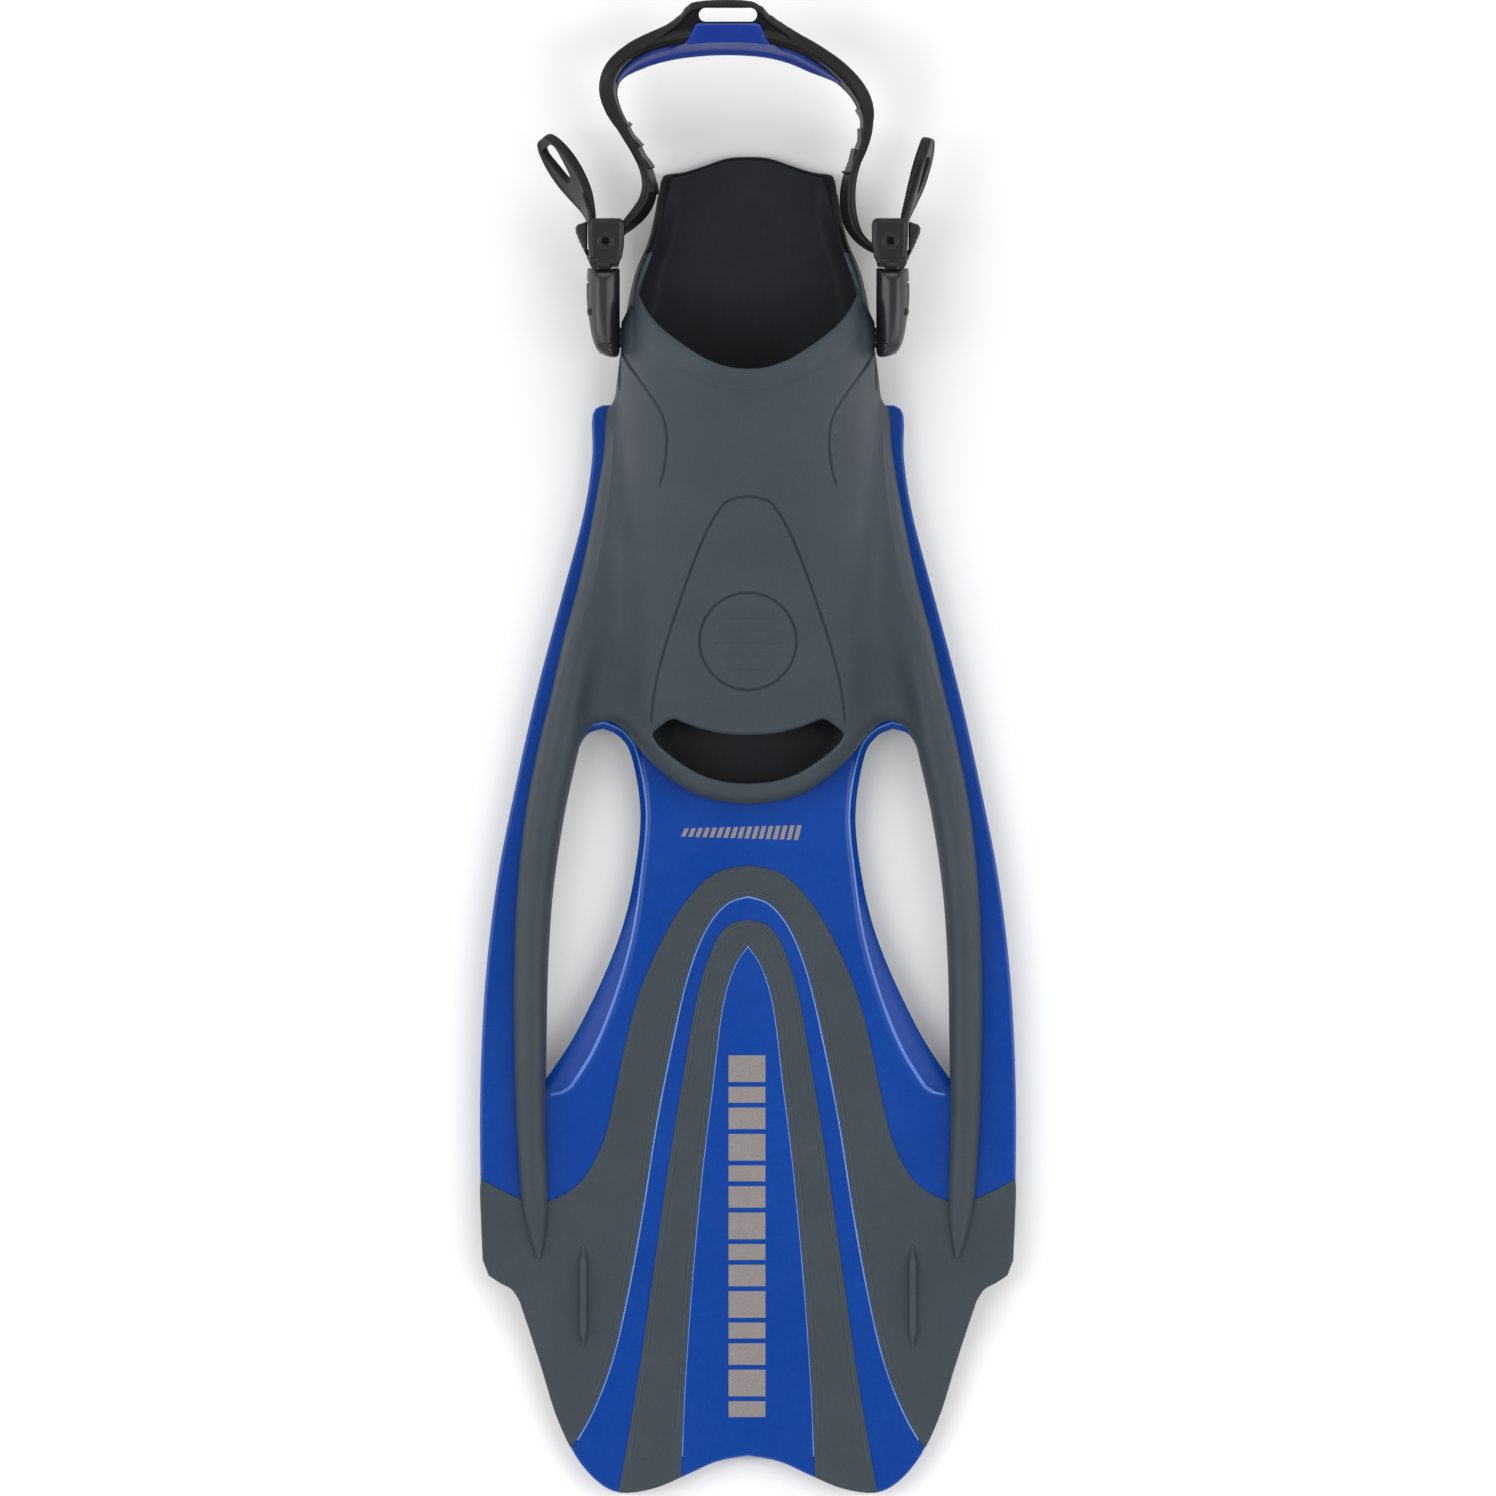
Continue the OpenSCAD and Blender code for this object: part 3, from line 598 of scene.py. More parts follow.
def build_blade():
    """Blue blade with its two vents, whose inner edges rise to a ridge and slope into the vent."""
    half = np.vstack([np.array(FORK_EDGE)[::-1], BLADE_EDGE[1:]])
    outline = both_sides(half)
    edges = [(outline, rounded_edge(BLADE_HALF, 0.7), False)]
    for side in SIDES.values():
        vent = counter_clockwise(VENT_EDGE * [side, 1])
        x, y = np.abs(vent[:, 0]), vent[:, 1]
        # 1 along the edge with the ridge, 0 along the edge by the rail
        inner = step_up(66 + 17 * step_up(-y, 60, 130) - x, -2, 6)
        width = 0.8 + inner * (1.4 + 7.6 * step_up(-y, 40, 125))
        profile = [(1.5, -BLADE_HALF), (0.7, -BLADE_HALF), (0.2, -BLADE_HALF + 0.2), (0, -BLADE_HALF + 0.7),
                   (0, -0.5), (0.25, -0.2), (width * 0.5, 0.5 * BLADE_HALF),
                   (width * 0.92, BLADE_HALF + 0.35 * inner),
                   (width + 0.1, BLADE_HALF + 0.6 * inner), (width + 0.5, BLADE_HALF + 0.5 * inner),
                   (width + 1.5, BLADE_HALF + 0.02), (width + 2.4, BLADE_HALF)]
        edges.append((vent, profile, True))
    points, faces = plate(edges)
    piece = new_piece("blade_core_panel", points, faces, [BLUE, PAINTED_RIDGE_HIGHLIGHT], "fin", ["blade_core"],
                      40)
    # The ridge crests' faces take the painted highlight colour.
    paint(piece, lambda p: p[:, 2] - camber(p[:, 1]) > BLADE_HALF + 0.3, 1)


def on_blade(path, lift):
    """A plan path laid on the blade's upper face."""
    path = np.asarray(path, float)
    return np.column_stack([path, camber(path[:, 1]) + lift])


def bead(path, side, out, radius, lift):
    """Thin bead beside a plan path, out to its left."""
    way = np.gradient(path, axis=0)
    way /= np.linalg.norm(way, axis=1)[:, None]
    line = path + np.column_stack([-way[:, 1], way[:, 0]]) * out
    return tube(on_blade(line * [side, 1], lift), radius, 8, 0.8)


def strake(side):
    """Low pointed rib near a blade corner."""
    t = np.linspace(0, 1, 25)
    y = -194.5 - 39.5 * t
    swell = np.clip(np.minimum(t, 1 - t) / 0.16, 0.12, 1) ** 0.6
    path = np.column_stack([np.full(25, 64.3 * side), y, camber(y) + CHANNEL_HALF - 0.3])
    return tube(path, 2.0 * swell, 16, 1.7)


def channel(loop):
    return plate([(loop, rounded_edge(CHANNEL_HALF, 0.5), False)])


def build_channels():
    """Grey rubber channels let into the blade, with beads along their edges and thin raised lips beside them,
    which carry the pale blue painted highlight.
    """
    outer = both_sides(np.vstack([
        OUTER_OUTSIDE, blade_edge_between([104.4, -168.3], [69, -273.5]) * [1.003, 1.0], OUTER_INSIDE]))
    inner = both_sides(np.vstack([
        INNER_OUTSIDE, blade_edge_between([50.5, -290.6], [26.2, -284.9]), INNER_INSIDE]))
    outer_beads = ((OUTER_INSIDE[8:], -1.9, 0.45, CHANNEL_HALF),
                   (OUTER_OUTSIDE[:-6], -1.4, 0.35, CHANNEL_HALF - 0.05))
    inner_beads = ((INNER_OUTSIDE[:-4], -1.7, 0.45, CHANNEL_HALF),
                   (INNER_INSIDE[4:], -1.7, 0.45, CHANNEL_HALF))
    for name, outline, beads in (("outer_channel", outer, outer_beads),
                                 ("inner_channel", inner, inner_beads)):
        parts = [channel(outline)]
        for side in SIDES.values():
            if name == "outer_channel":
                parts.append(strake(side))
            parts += [bead(path, side, *size) for path, *size in beads]
        points, faces = joined(parts)
        new_piece(name + "_rubber", points, faces, [GREY], "fin", [name], 40)
    # Raised beads beside the channels' inner edges, coloured as a painted highlight.
    lips = []
    for side in SIDES.values():
        lips.append(bead(OUTER_INSIDE[2:], side, 0.35, 0.36, BLADE_HALF + 0.1))
        lips.append(bead(INNER_INSIDE[2:], side, 0.3, 0.24, BLADE_HALF))
    points, faces = joined(lips)
    new_piece("blade_panel_highlight_lips", points, faces, [PAINTED_RIDGE_HIGHLIGHT], "fin", [])


def bar(cx, cy, w, h, skew=0.0):
    """Thin printed bar with slanting ends."""
    loop = np.array([[cx - w / 2 - skew, cy - h / 2], [cx + w / 2 - skew, cy - h / 2],
                     [cx + w / 2 + skew, cy + h / 2], [cx - w / 2 + skew, cy + h / 2]])
    fine = np.vstack([np.linspace(a, b, 4, endpoint=False) for a, b in zip(loop, np.roll(loop, -1, 0))])
    return plate([(fine, [(0, -0.05), (0, 0.08)], False)], 4.0, lambda y: camber(y) + BLADE_HALF)


PRINT_X, PRINT_TOP, PRINT_WIDE, PRINT_GAP = -0.4, -120.0, 14.4, 1.9
PRINT_HEIGHTS = (10.4, 6.2, 8.4)    # the bars of the column take these in turn


def build_print():
    """Plain silver bars where such a fin has print: a column, and a slanting row at the neck."""
    parts = []
    y = PRINT_TOP
    for k in range(14):
        h = PRINT_HEIGHTS[k % 3]
        parts.append(bar(PRINT_X, y - h / 2, PRINT_WIDE, h))
        y -= h + PRINT_GAP
    for k in range(17):
        parts.append(bar(-24.6 + 2.75 * k, -33, 1.7, 3.2 + 0.16 * k, 0.7))
    points, faces = joined(parts)
    new_piece("silver_print_bars", points, faces, [INK], "fin", [], 30)


# ---------------------------------------------------------------- foot pocket

# [y, half width, height] of the outside of the pocket
DOME = np.array([
    [238, 33, 62], [222, 34.5, 66], [210, 36.2, 70], [198, 39, 74], [187, 43.6, 77], [177, 46.2, 79],
    [165, 48.3, 80], [150, 50.4, 80], [134, 52, 76.5], [110, 52.5, 70.5], [80, 52.5, 62], [50, 51.5, 53],
    [25, 49, 45], [5, 46.5, 38], [-1, 42, 34], [-6.5, 37, 30], [-12.8, 29.6, 26]])
TOE = np.array([[-17.7, 22.5], [-22.2, 19.2], [-30, 16.5]])
# [y, inner edge, outer edge, half height] of a side rail
RAIL = np.array([
    [130, 45, 53.8, 5], [118, 45.5, 54.2, 9], [100, 46.5, 58, 12], [66, 52, 65.6, 14], [43, 58, 71.8, 14.5],
    [21, 62.5, 76.8, 14.5], [0, 66, 82, 14], [-26, 71.6, 87, 13.5], [-56, 76, 90.2, 12.5],
    [-86, 78, 91.4, 11.5], [-116, 78.6, 91.4, 10], [-145, 79, 90.6, 8], [-175, 78.2, 88.6, 5.5],
    [-190, 79, 85.8, 3.8], [-199, 80.8, 82.4, 2.4]])
# The foot opening is where its rim seen from above and its outline from the side, in Y and Z, both cut
RIM = both_sides(np.vstack([curve([[0, 147.4], [6, 147.8], [12, 149.5], [18, 152.2], [27, 158.2],
                                   [33.5, 163.4], [38.8, 169.6], [42, 176], [43.5, 182], [44.2, 188]], 3),
                            [[50, 196], [80, 200], [80, 300], [0, 300]]]))
SIDE_CUT = np.vstack([[[110, 26], [168, 26]],
                      curve([[176, 30], [184, 32.5], [191, 31.5], [199, 27.5], [206, 21.5], [212, 15],
                             [220, 9.5], [227, 7.5]], 3),
                      [[250, 7], [250, 120], [110, 120]]])
# Inside this outline, in Y and Z, the rubber is the black tray's
TRAY_LINE = np.array([[-40, 8], [164, 8], [176, 13], [188, 22], [195, 32], [202, 120], [260, 120],
                      [260, -10], [-40, -10]])
HEEL_EDGE = both_sides(np.vstack([[[140, -400], [140, 216], [35.4, 217], [34.8, 221], [33.2, 223.6]],
                                  curve([[31, 224.3], [25, 225], [17, 227.5], [8, 230.5], [0, 231]], 3)]))
WINDOW = both_sides(np.vstack([
    curve([[0, 5], [10, 5.6], [20, 8], [28.5, 11.3]], 3), [[31, 10.8], [36.6, 6.6], [37.3, 4.9]],
    curve([[35.5, 1.8], [29.6, -3.4], [20, -9.6], [10, -12.9], [0, -13.8]], 3)]))
FRONT = both_sides(np.vstack([curve(FRONT_BORDER, 3), [[120, 5], [120, 260], [0, 260]]]))
ARCH = 1 / 0.37         # power of the pocket's superelliptical section
RAIL_POWER = 2.3        # the same for the side rails

width_of = Track(DOME[:, 0], DOME[:, 1])
height_of = Track(DOME[:, 0], DOME[:, 2])
outer_width = Track(np.append(DOME[:12, 0], [25, 0, -40]), np.append(DOME[:12, 1], [51, 51, 51]))
outer_height = Track(np.append(DOME[:, 0], TOE[:, 0]), np.append(DOME[:, 2], TOE[:, 1]))
skirt_top = Track([-30, 5, 15, 28, 45, 66, 95, 118, 140], [20.6, 20.6, 21, 24, 29, 32, 32, 29, 24])
rail_inner, rail_outer, rail_half = (Track(RAIL[:, 0], RAIL[:, k]) for k in (1, 2, 3))


def arch_field(x, y, z, wide, tall, floor=0.0, shrink=0.0):
    """Distance, near the surface, to a flattened arch whose size changes along Y."""
    a, h = wide(y) - shrink, tall(y) - shrink - floor
    u, w = np.abs(x) / a, np.maximum(z - floor, 0) / h
    g = (u**ARCH + w**ARCH + 1e-9) ** (1 / ARCH)
    pull = g ** (1 - ARCH)
    gx = pull * u ** (ARCH - 1) / a
    gz = pull * w ** (ARCH - 1) / h
    gy = pull * (u**ARCH * wide.rate(y) / a + w**ARCH * tall.rate(y) / h)
    return (g - 1) / np.sqrt(gx**2 + gy**2 + gz**2 + 1e-6)


def rail_field(x, y, z):
    a, b = rail_inner(y), rail_outer(y)
    u = np.abs((np.abs(x) - (a + b) / 2) / ((b - a) / 2))
    w = np.abs((z - camber(y) - RAIL_LIFT) / rail_half(y))
    p = RAIL_POWER
    g = (u**p + w**p + 1e-9) ** (1 / p)
    gx = g ** (1 - p) * u ** (p - 1) / ((b - a) / 2)
    gz = g ** (1 - p) * w ** (p - 1) / rail_half(y)
    d = (g - 1) / np.sqrt(gx**2 + gz**2 + 1e-4)
    return np.maximum(np.maximum(d, -199.4 - y), y - 131)


def cavity_field(x, y, z):
    """The space for the foot."""
    d = arch_field(x, y, z, width_of, height_of, SOLE, WALL)
    return smax(smax(d, SOLE - z, 5.0), -12.8 - y, 4.0)


def shell_field(x, y, z):
    """Rubber of the foot pocket, tray and rails together."""
    opening = smax(outline_distance(x, y, RIM), outline_distance(y, z, SIDE_CUT), 4.0)
    front = outline_distance(x, y, FRONT)
    dome = arch_field(x, y, z, outer_width, outer_height)
    dome = dome - 0.9 * step_up(9.5 - opening, 0, 2.0) * step_up(z, 36, 52)
    dome = smax(dome, -z, 3.0)
    skirt = np.maximum(z - skirt_top(y), BLADE_Z - SKIRT_HALF - z)
    skirt = np.maximum(skirt, np.abs(x) - (rail_inner(y) + rail_outer(y)) / 2)
    skirt = np.maximum(skirt, y - 120)
    body = smax(smin(dome, skirt, 10.0), front, 5.0)
    outside = smin(body, rail_field(x, y, z), 9.0)
    from_post = np.hypot(y - POST_Y, z - BUCKLE_Z)
    boss = smax(from_post - 10.5 + 1.5 * np.maximum(np.abs(x) - 46, 0), np.abs(x) - 49.3, 1.0)
    outside = smin(outside, boss, 6.0)
    outside = np.maximum(outside, -np.maximum(from_post - 21, 49.4 - np.abs(x)))
    outside = smax(outside, 0.1 - z, 2.0)
    shell = smax(outside, -cavity_field(x, y, z), 1.0)
    shell = smax(shell, -opening, 2.2)
    shell = smax(shell, outline_distance(x, y, HEEL_EDGE), 2.0)
    window = np.maximum(outline_distance(x, y, WINDOW), SOLE + 1 - z)
    shell = smax(shell, -window, 1.6)
    head = np.maximum(from_post - 8.1, np.abs(x) - 45.4)
    return np.maximum(np.maximum(shell, -head), 4.05 - from_post + 0 * x)


# Thin lines moulded into the top of the pocket, in plan
SIDE_LINE = curve([[50, 155], [46, 148.5], [41, 141.5], [34.5, 131.5], [32, 124], [32, 114], [33.5, 105.5],
                   [37, 95.5]])
SHIELD_LINE = curve([[0, 97.8], [5.5, 96.8], [9.75, 94.4], [16, 84.3], [22.2, 69.4], [27, 55.8], [32, 40.8],
                     [35.9, 25.9], [37.6, 14.8], [38, 10.3]])
RING_Y, RING_R = 41.4, 18.9
LINE_DEPTH, LINE_HALF = 0.95, 0.42      # the lines' depth and half width
LINE_ZONE = (5, 158)                    # the lines lie between these Y
GRIP_PITCH, GRIP_R, GRIP_RISE = 5.0, 13.5, 0.45     # the bars inside the ring
SKIN = 1.5                              # points further than this from the cavity are on the outside


def line_depth(x, y):
    """How deep the moulded lines are at a plan point, in millimetres."""
    x = np.abs(x)
    side = outline_distance(x, y, SIDE_LINE, False)
    shield = outline_distance(x, y, SHIELD_LINE, False)
    from_ring = np.hypot(x, y - RING_Y)
    d = np.minimum(np.minimum(shield, np.abs(from_ring - RING_R)), side + 2.5 * step_up(-y, -104, -95))
    depth = LINE_DEPTH * np.exp(-((d / LINE_HALF) ** 2))
    row = np.abs((y - RING_Y + GRIP_PITCH / 2) % GRIP_PITCH - GRIP_PITCH / 2)
    reach = np.sqrt(np.maximum(GRIP_R**2 - (y - RING_Y) ** 2, 0))
    grip = np.exp(-((row / 0.8) ** 2)) * step_up(reach - x, 0, 1.0) * (np.abs(y - RING_Y) < 12)
    return depth - GRIP_RISE * grip


def on_instep(y, z):
    """True where the moulded lines may be: high on the pocket, between the ends of their zone."""
    return (z > outer_height(y) * 0.3 + 6) & (y > LINE_ZONE[0]) & (y < LINE_ZONE[1])


def carve_lines(points, faces):
    """Splits the faces near the moulded lines and presses the lines in."""
    reach = 1.9
    middle = points[faces].mean(1)
    zone = on_instep(middle[:, 1], middle[:, 2])
    near = np.zeros(len(faces), bool)
    x, y = np.abs(middle[zone, 0]), middle[zone, 1]
    d = np.minimum(outline_distance(x, y, SIDE_LINE, False), outline_distance(x, y, SHIELD_LINE, False))
    ring = np.hypot(x, y - RING_Y) - RING_R
    near[zone] = (d < reach) | (ring < reach)
    near &= cavity_field(*middle.T) > SKIN
    bm = bmesh.new()
    made = [bm.verts.new(p) for p in points]
    for i, f in enumerate(faces):
        face = bm.faces.new([made[k] for k in f])
        face.tag = bool(near[i])
    bm.normal_update()
    edges = {e for f in bm.faces if f.tag for e in f.edges}
    bmesh.ops.subdivide_edges(bm, edges=list(edges), cuts=3, use_grid_fill=True)
    bmesh.ops.triangulate(bm, faces=[f for f in bm.faces if len(f.verts) > 4])
    bm.normal_update()
    p = np.array([v.co[:] for v in bm.verts])
    n = np.array([v.normal[:] for v in bm.verts])
    touched = on_instep(p[:, 1], p[:, 2]) & (n[:, 2] > 0.05) & (np.abs(cavity_field(*p.T)) > SKIN)
    depth = np.zeros(len(p))
    depth[touched] = line_depth(p[touched, 0], p[touched, 1])
    p = p - n * depth[:, None]
    bm.verts.index_update()
    out = [[v.index for v in f.verts] for f in bm.faces]
    bm.free()
    return p, out


def paint(piece, test, number):
    """Gives the faces whose middles pass a test the piece's material of that number."""
    mesh = piece.data
    middle = np.empty(len(mesh.polygons) * 3)
    mesh.polygons.foreach_get("center", middle)
    chosen = test(middle.reshape(-1, 3) / MM)
    mesh.polygons.foreach_set("material_index", np.where(chosen, number, 0).astype(np.int32))


def inside_pocket(p):
    x, y, z = p.T
    return (cavity_field(x, y, z) < 0.55) & (y > -12)


def build_pocket():
    """Grey upper with its side rails, and the black tray under and behind the foot."""

    def under(x, y, z):
        return np.maximum(outline_distance(y, z, TRAY_LINE), np.abs(x) - outer_width(y) - 0.2)

    def upper(x, y, z):
        return smax(shell_field(x, y, z), -under(x, y, z), 0.5)

    def tray(x, y, z):
        return np.maximum(shell_field(x, y, z), under(x, y, z))

    points, faces = surface(upper, (0, -201, -1), (94, 206, 84), COARSE, True)
    points, faces = carve_lines(points, faces)
    piece = new_piece("foot_pocket_upper", points, faces, [GREY, INSIDE], "fin",
                      ["foot_pocket", "left_side_rail", "right_side_rail"])
    # The faces inside the cavity take the near-black colour.
    paint(piece, inside_pocket, 1)
    points, faces = surface(tray, (0, -24, -1), (56, 233, 62), COARSE, True)
    new_piece("heel_tray_shell", points, faces, [BLACK], "fin", ["heel_tray"])


FOOTBED_EDGE = both_sides(curve([
    [0, -16], [22, -12], [36, 0], [44, 18], [48.5, 50], [50, 84], [50, 115], [49, 138], [46.8, 158],
    [44, 177], [40.4, 188], [37, 198], [34.6, 209], [32.4, 220.4], [29, 222.6], [22, 224.2], [15, 226.8],
    [7, 229.2], [0, 229.6]], 3))
FOOTBED_TOP = SOLE + 1.6


def liner_field(x, y, z):
    """Footbed liner: flat in the middle, curling up into the walls."""
    wall = width_of(y) - WALL
    curl = 9.0 * step_up(np.abs(x) / wall, 0.8, 1.12) * (1 - step_up(y, 205, 222))
    top = FOOTBED_TOP + curl
    d = smax(z - top, outline_distance(x, y, FOOTBED_EDGE), 1.2)
    d = np.maximum(d, SOLE - 1.2 - z)
    return np.maximum(d, arch_field(x, y, z, width_of, height_of, SOLE, WALL) - 0.6)


def build_liner():
    points, faces = surface(liner_field, (0, -16, 2), (50, 232, 20), COARSE, True)
    new_piece("footbed_liner", points, faces, [LINER], "fin", ["footbed"])


# ---------------------------------------------------------------- buckles

# Outlines of the buckle parts on the right, in X and Y
RECEIVER_PLAN = np.vstack([[[50, 187.2], [50, 153], [50.5, 151.7], [51.6, 151.2]],
                           curve([[53.4, 151.3], [56.3, 152.7], [59.6, 156.6], [61.6, 162.5], [62.7, 170],
                                  [63, 178]], 4),
                           [[62.6, 187.2]]])
CHEEK = np.array([[50.2, 189.8], [50.5, 188.6], [53.5, 188.4], [53.8, 187.3], [61, 187.3], [61.7, 188.6],
                  [62.3, 196], [62.5, 204.8], [61.6, 206.4], [49.8, 206.4], [48.5, 205.3], [48.2, 203.8],
                  [48.4, 196], [49.2, 191.4]])
TAB_PLAN = np.array([[59.4, 160], [60.2, 159.6], [61, 162], [61.9, 166.5], [62.6, 171.5], [62.9, 176],
                     [62.9, 180.8], [62.3, 181.4], [60.5, 181.4], [60.2, 172]])
LEVER_ARM = np.array([[60.2, 191.8], [62.45, 194.2], [63.6, 194.2], [62.6, 190.6], [61.2, 188.1]])
LEVER_PAWL = np.array([[58.75, 192.2], [58.2, 190], [60.2, 191.8]])
LEVER_GRIP = np.array([[62.65, 192.6], [62.65, 204.6], [63.2, 205.2], [66.6, 203.8], [67.3, 202.8],
                       [67.2, 201], [65.5, 196.8], [63.4, 192.6]])


def receiver_field(x, y, z):
    """Finger-shaped socket that swings on the swivel post and takes the frame's tongue."""
    up = z - BUCKLE_Z
    end = np.hypot(np.maximum(157.6 - y, 0), np.maximum(np.abs(up) - 7.5, 0)) - 6
    round_over = 13.5 - 1.6 * np.abs((x - 56.6) / 6.4) ** 3 - 2.4 * step_up(x, 58, 63.5)
    d = smax(outline_distance(x, y, RECEIVER_PLAN), np.abs(up) - round_over, 6.0)
    d = smax(smax(d, np.where(y < 157.6, end, -9.0), 4.0), y - 187.2, 0.8)
    from_post = np.hypot(y - POST_Y, up)
    d = np.maximum(d, -np.maximum(from_post - 4.06, x - 54.2))
    d = np.maximum(d, -np.maximum(from_post - 6.8, np.maximum(54 - x, x - 58.4)))
    d = np.maximum(d, -block(x, y, up, (53, 168, -10.5), (58.6, 198, 10.5)))
    recess = block(x + 1.5 * step_up(168.5 - y, 0, 6), y, up, (59.4, 157.2, -7.5), (70, 182, 7.5))
    d = smax(d, -recess, 0.3)
    d = np.maximum(d, -block(x, y, up, (58, 176.4, -3.2), (61, 180.6, 3.2)))
    pin = np.hypot(x - TAB_X, y - TAB_Y) - TRUNNION_R - 0.06
    return np.maximum(d, -np.maximum(pin, np.abs(up) - 10))


def frame_field(x, y, z):
    """Buckle frame: two cheeks, the bridge between them and the tongue."""
    up = z - BUCKLE_Z
    cheek = smax(outline_distance(x, y, CHEEK), np.abs(np.abs(up) - CHEEK_Z - CHEEK_T / 2) - CHEEK_T / 2, 0.9)
    d = smin(cheek, block(x, y, up, (50.6, 187.6, -CHEEK_Z - 1), (57.8, 190, CHEEK_Z + 1)), 1.0)
    tongue = block(x, y, up, (53.15, 170, -10.35), (58.45, 189, 10.35))
    tongue = smax(tongue, 170.9 - y + 0.2 * np.abs(up), 1.0)
    d = np.minimum(d, tongue)
    hole = np.hypot(x - ROLLER_X, y - ROLLER_Y)
    d = smax(d, PIN_R + 0.02 - hole, 0.4)
    d = np.maximum(d, TRUNNION_R + 0.06 - np.hypot(x - LEVER_X, y - LEVER_Y))
    panel = np.maximum(outline_distance(x, y, CHEEK) + 1.5, CHEEK_Z + CHEEK_T - 0.25 - np.abs(up))
    d = smax(d, -np.maximum(panel, 3.0 - hole), 0.25)
    return np.maximum(d, -block(x, y, up, (57.8, 176.2, -3.4), (60.8, 180.8, 3.4)))


def tab_field(x, y, z):
    """Release tab with finger ribs, its trunnions and its hook."""
    up = z - BUCKLE_Z
    rib = 0.2 * np.cos((y - 161.5) * 2 * np.pi / 1.6) * step_up(168.5 - y, 0, 1)
    d = smax(outline_distance(x, y, TAB_PLAN) + np.maximum(rib, 0), np.abs(up) - 7.2, 0.9)
    hub = np.maximum(np.hypot(x - TAB_X, y - TAB_Y) - 1.5, np.abs(up) - 7.2)
    pin = np.maximum(np.hypot(x - TAB_X, y - TAB_Y) - TRUNNION_R, np.abs(up) - 9.7)
    hook = block(x, y, up, (58.65, 176.8, -2.9), (61, 180.2, 2.9))
    return np.minimum(smin(smin(d, hub, 0.5), hook, 0.4), pin)


def lever_field(x, y, z):
    """Ratchet lever: ribbed thumb grip, pawl and trunnions."""
    up = z - BUCKLE_Z
    slim = np.maximum(-10.8 - up, up - 7.2)
    arm = np.minimum(outline_distance(x, y, LEVER_ARM), outline_distance(x, y, LEVER_PAWL))
    arm = np.maximum(np.minimum(arm, np.hypot(x - LEVER_X, y - LEVER_Y) - 2), slim)
    rib = 0.22 * np.cos((y - 198) * 2 * np.pi / 1.7) * step_up(x, 63.4, 64.2)
    grip = smax(outline_distance(x, y, LEVER_GRIP) + np.maximum(rib, 0), np.abs(up) - 10.8, 0.9)
    pin = np.maximum(np.hypot(x - LEVER_X, y - LEVER_Y) - TRUNNION_R, np.abs(up) - CHEEK_Z - CHEEK_T + 0.2)
    return np.minimum(smin(arm, grip, 0.6), pin)


def build_buckles():
    zs = (BUCKLE_Z - 15, BUCKLE_Z + 15)
    kinds = [
        ("receiver", receiver_field, (49, 150.5), (64, 188.5), "{}_receiver", BUCKLE, "buckle_plastic"),
        ("buckle_frame", frame_field, (47, 169), (63.6, 207.6), "strap", FRAME, "buckle_plastic"),
        ("release_tab", tab_field, (57.6, 156.6), (64, 182.6), "{}_tab", LEVER, "dark_plastic"),
        ("ratchet_lever", lever_field, (57, 186.6), (68.4, 206.4), "{}_lever", LEVER, "dark_plastic")]
    for kind, field, low, high, body, material, slot in kinds:
        points, faces = surface(field, (*low, zs[0]), (*high, zs[1]), SMALL)
        for name, side in SIDES.items():
            new_piece(f"{name}_{kind}_moulding", points * [side, 1, 1], faces, [material], body.format(name),
                      [f"{name}_{kind}"])


# ---------------------------------------------------------------- heel strap

# [x, y, z of the middle, width, lean of the top edge to the outside, thickness]
LEFT_TAIL = [
    [-80, 238, 33, 8, 27, 3.2], [-77.6, 234.8, 33, 15, 28, 3.2], [-74, 229.6, 33, 19.5, 28, 3.2],
    [-69.8, 223.2, 33, 21, 26, 3.2], [-65.2, 215.8, 33, 22, 17, 3], [-62, 209, 33, 22, 6, 2.6],
    [-60.6, 203, 33, 22, 0, 2.4]]
RIGHT_TAIL = [
    [60.6, 203, 33, 22, 0, 2.4], [61.6, 207.6, 33, 22, 2, 2.6], [63.6, 213.4, 33, 22, 5, 3],
    [65.8, 220, 33, 22, 8, 3.4], [67.8, 227, 33, 21, 9, 3.6], [69.4, 233, 33, 17, 9, 3.6],
    [70.4, 238, 33, 9, 9, 3.4]]
LOOP = [
    [-49.6, 201.2, 33, 22, 2, 2.4], [-46.2, 204.6, 33, 22, 6, 2.4], [-42.3, 208.8, 33, 22, 9, 2.4],
    [-39.4, 213.6, 33, 22, 9, 2.4], [-38.4, 219.6, 33, 22, 8, 2.4], [-40, 226.4, 33, 22, 6, 2.4],
    [-43.6, 233.6, 33, 23, 5, 2.4], [-48, 241, 33, 24.5, 5, 2.4], [-52, 248.6, 33.5, 26.5, 5, 2.6],
    [-54, 256.6, 34, 28, 6, 2.8], [-51.5, 264.2, 35, 29, 8, 3], [-44.5, 270.3, 35.5, 29, 9, 3],
    [-34.3, 274, 36, 29, 10, 3], [-22.6, 276, 36, 29, 10, 3], [-8, 276.8, 36, 29, 10, 3],
    [7.5, 275.8, 36, 29, 10, 3], [20.3, 272.2, 36, 29, 9, 3], [31.6, 266, 35.5, 29, 8, 3],
    [40.4, 258.2, 34.5, 28, 6, 2.8], [45.2, 250.2, 33.5, 26.5, 5, 2.6], [46.2, 242.6, 33, 24.5, 5, 2.4],
    [44.5, 235, 33, 23, 5, 2.4], [41.2, 227.4, 33, 22, 6, 2.4], [39.2, 219.6, 33, 22, 8, 2.4],
    [38.9, 212, 33, 22, 9, 2.4], [40, 205.4, 33, 22, 8, 2.4], [42.6, 200, 33, 22, 4, 2.4],
    [46.4, 196.2, 33, 22, 1, 2.4], [50.2, 194.2, 33, 22, 0, 2.4]]


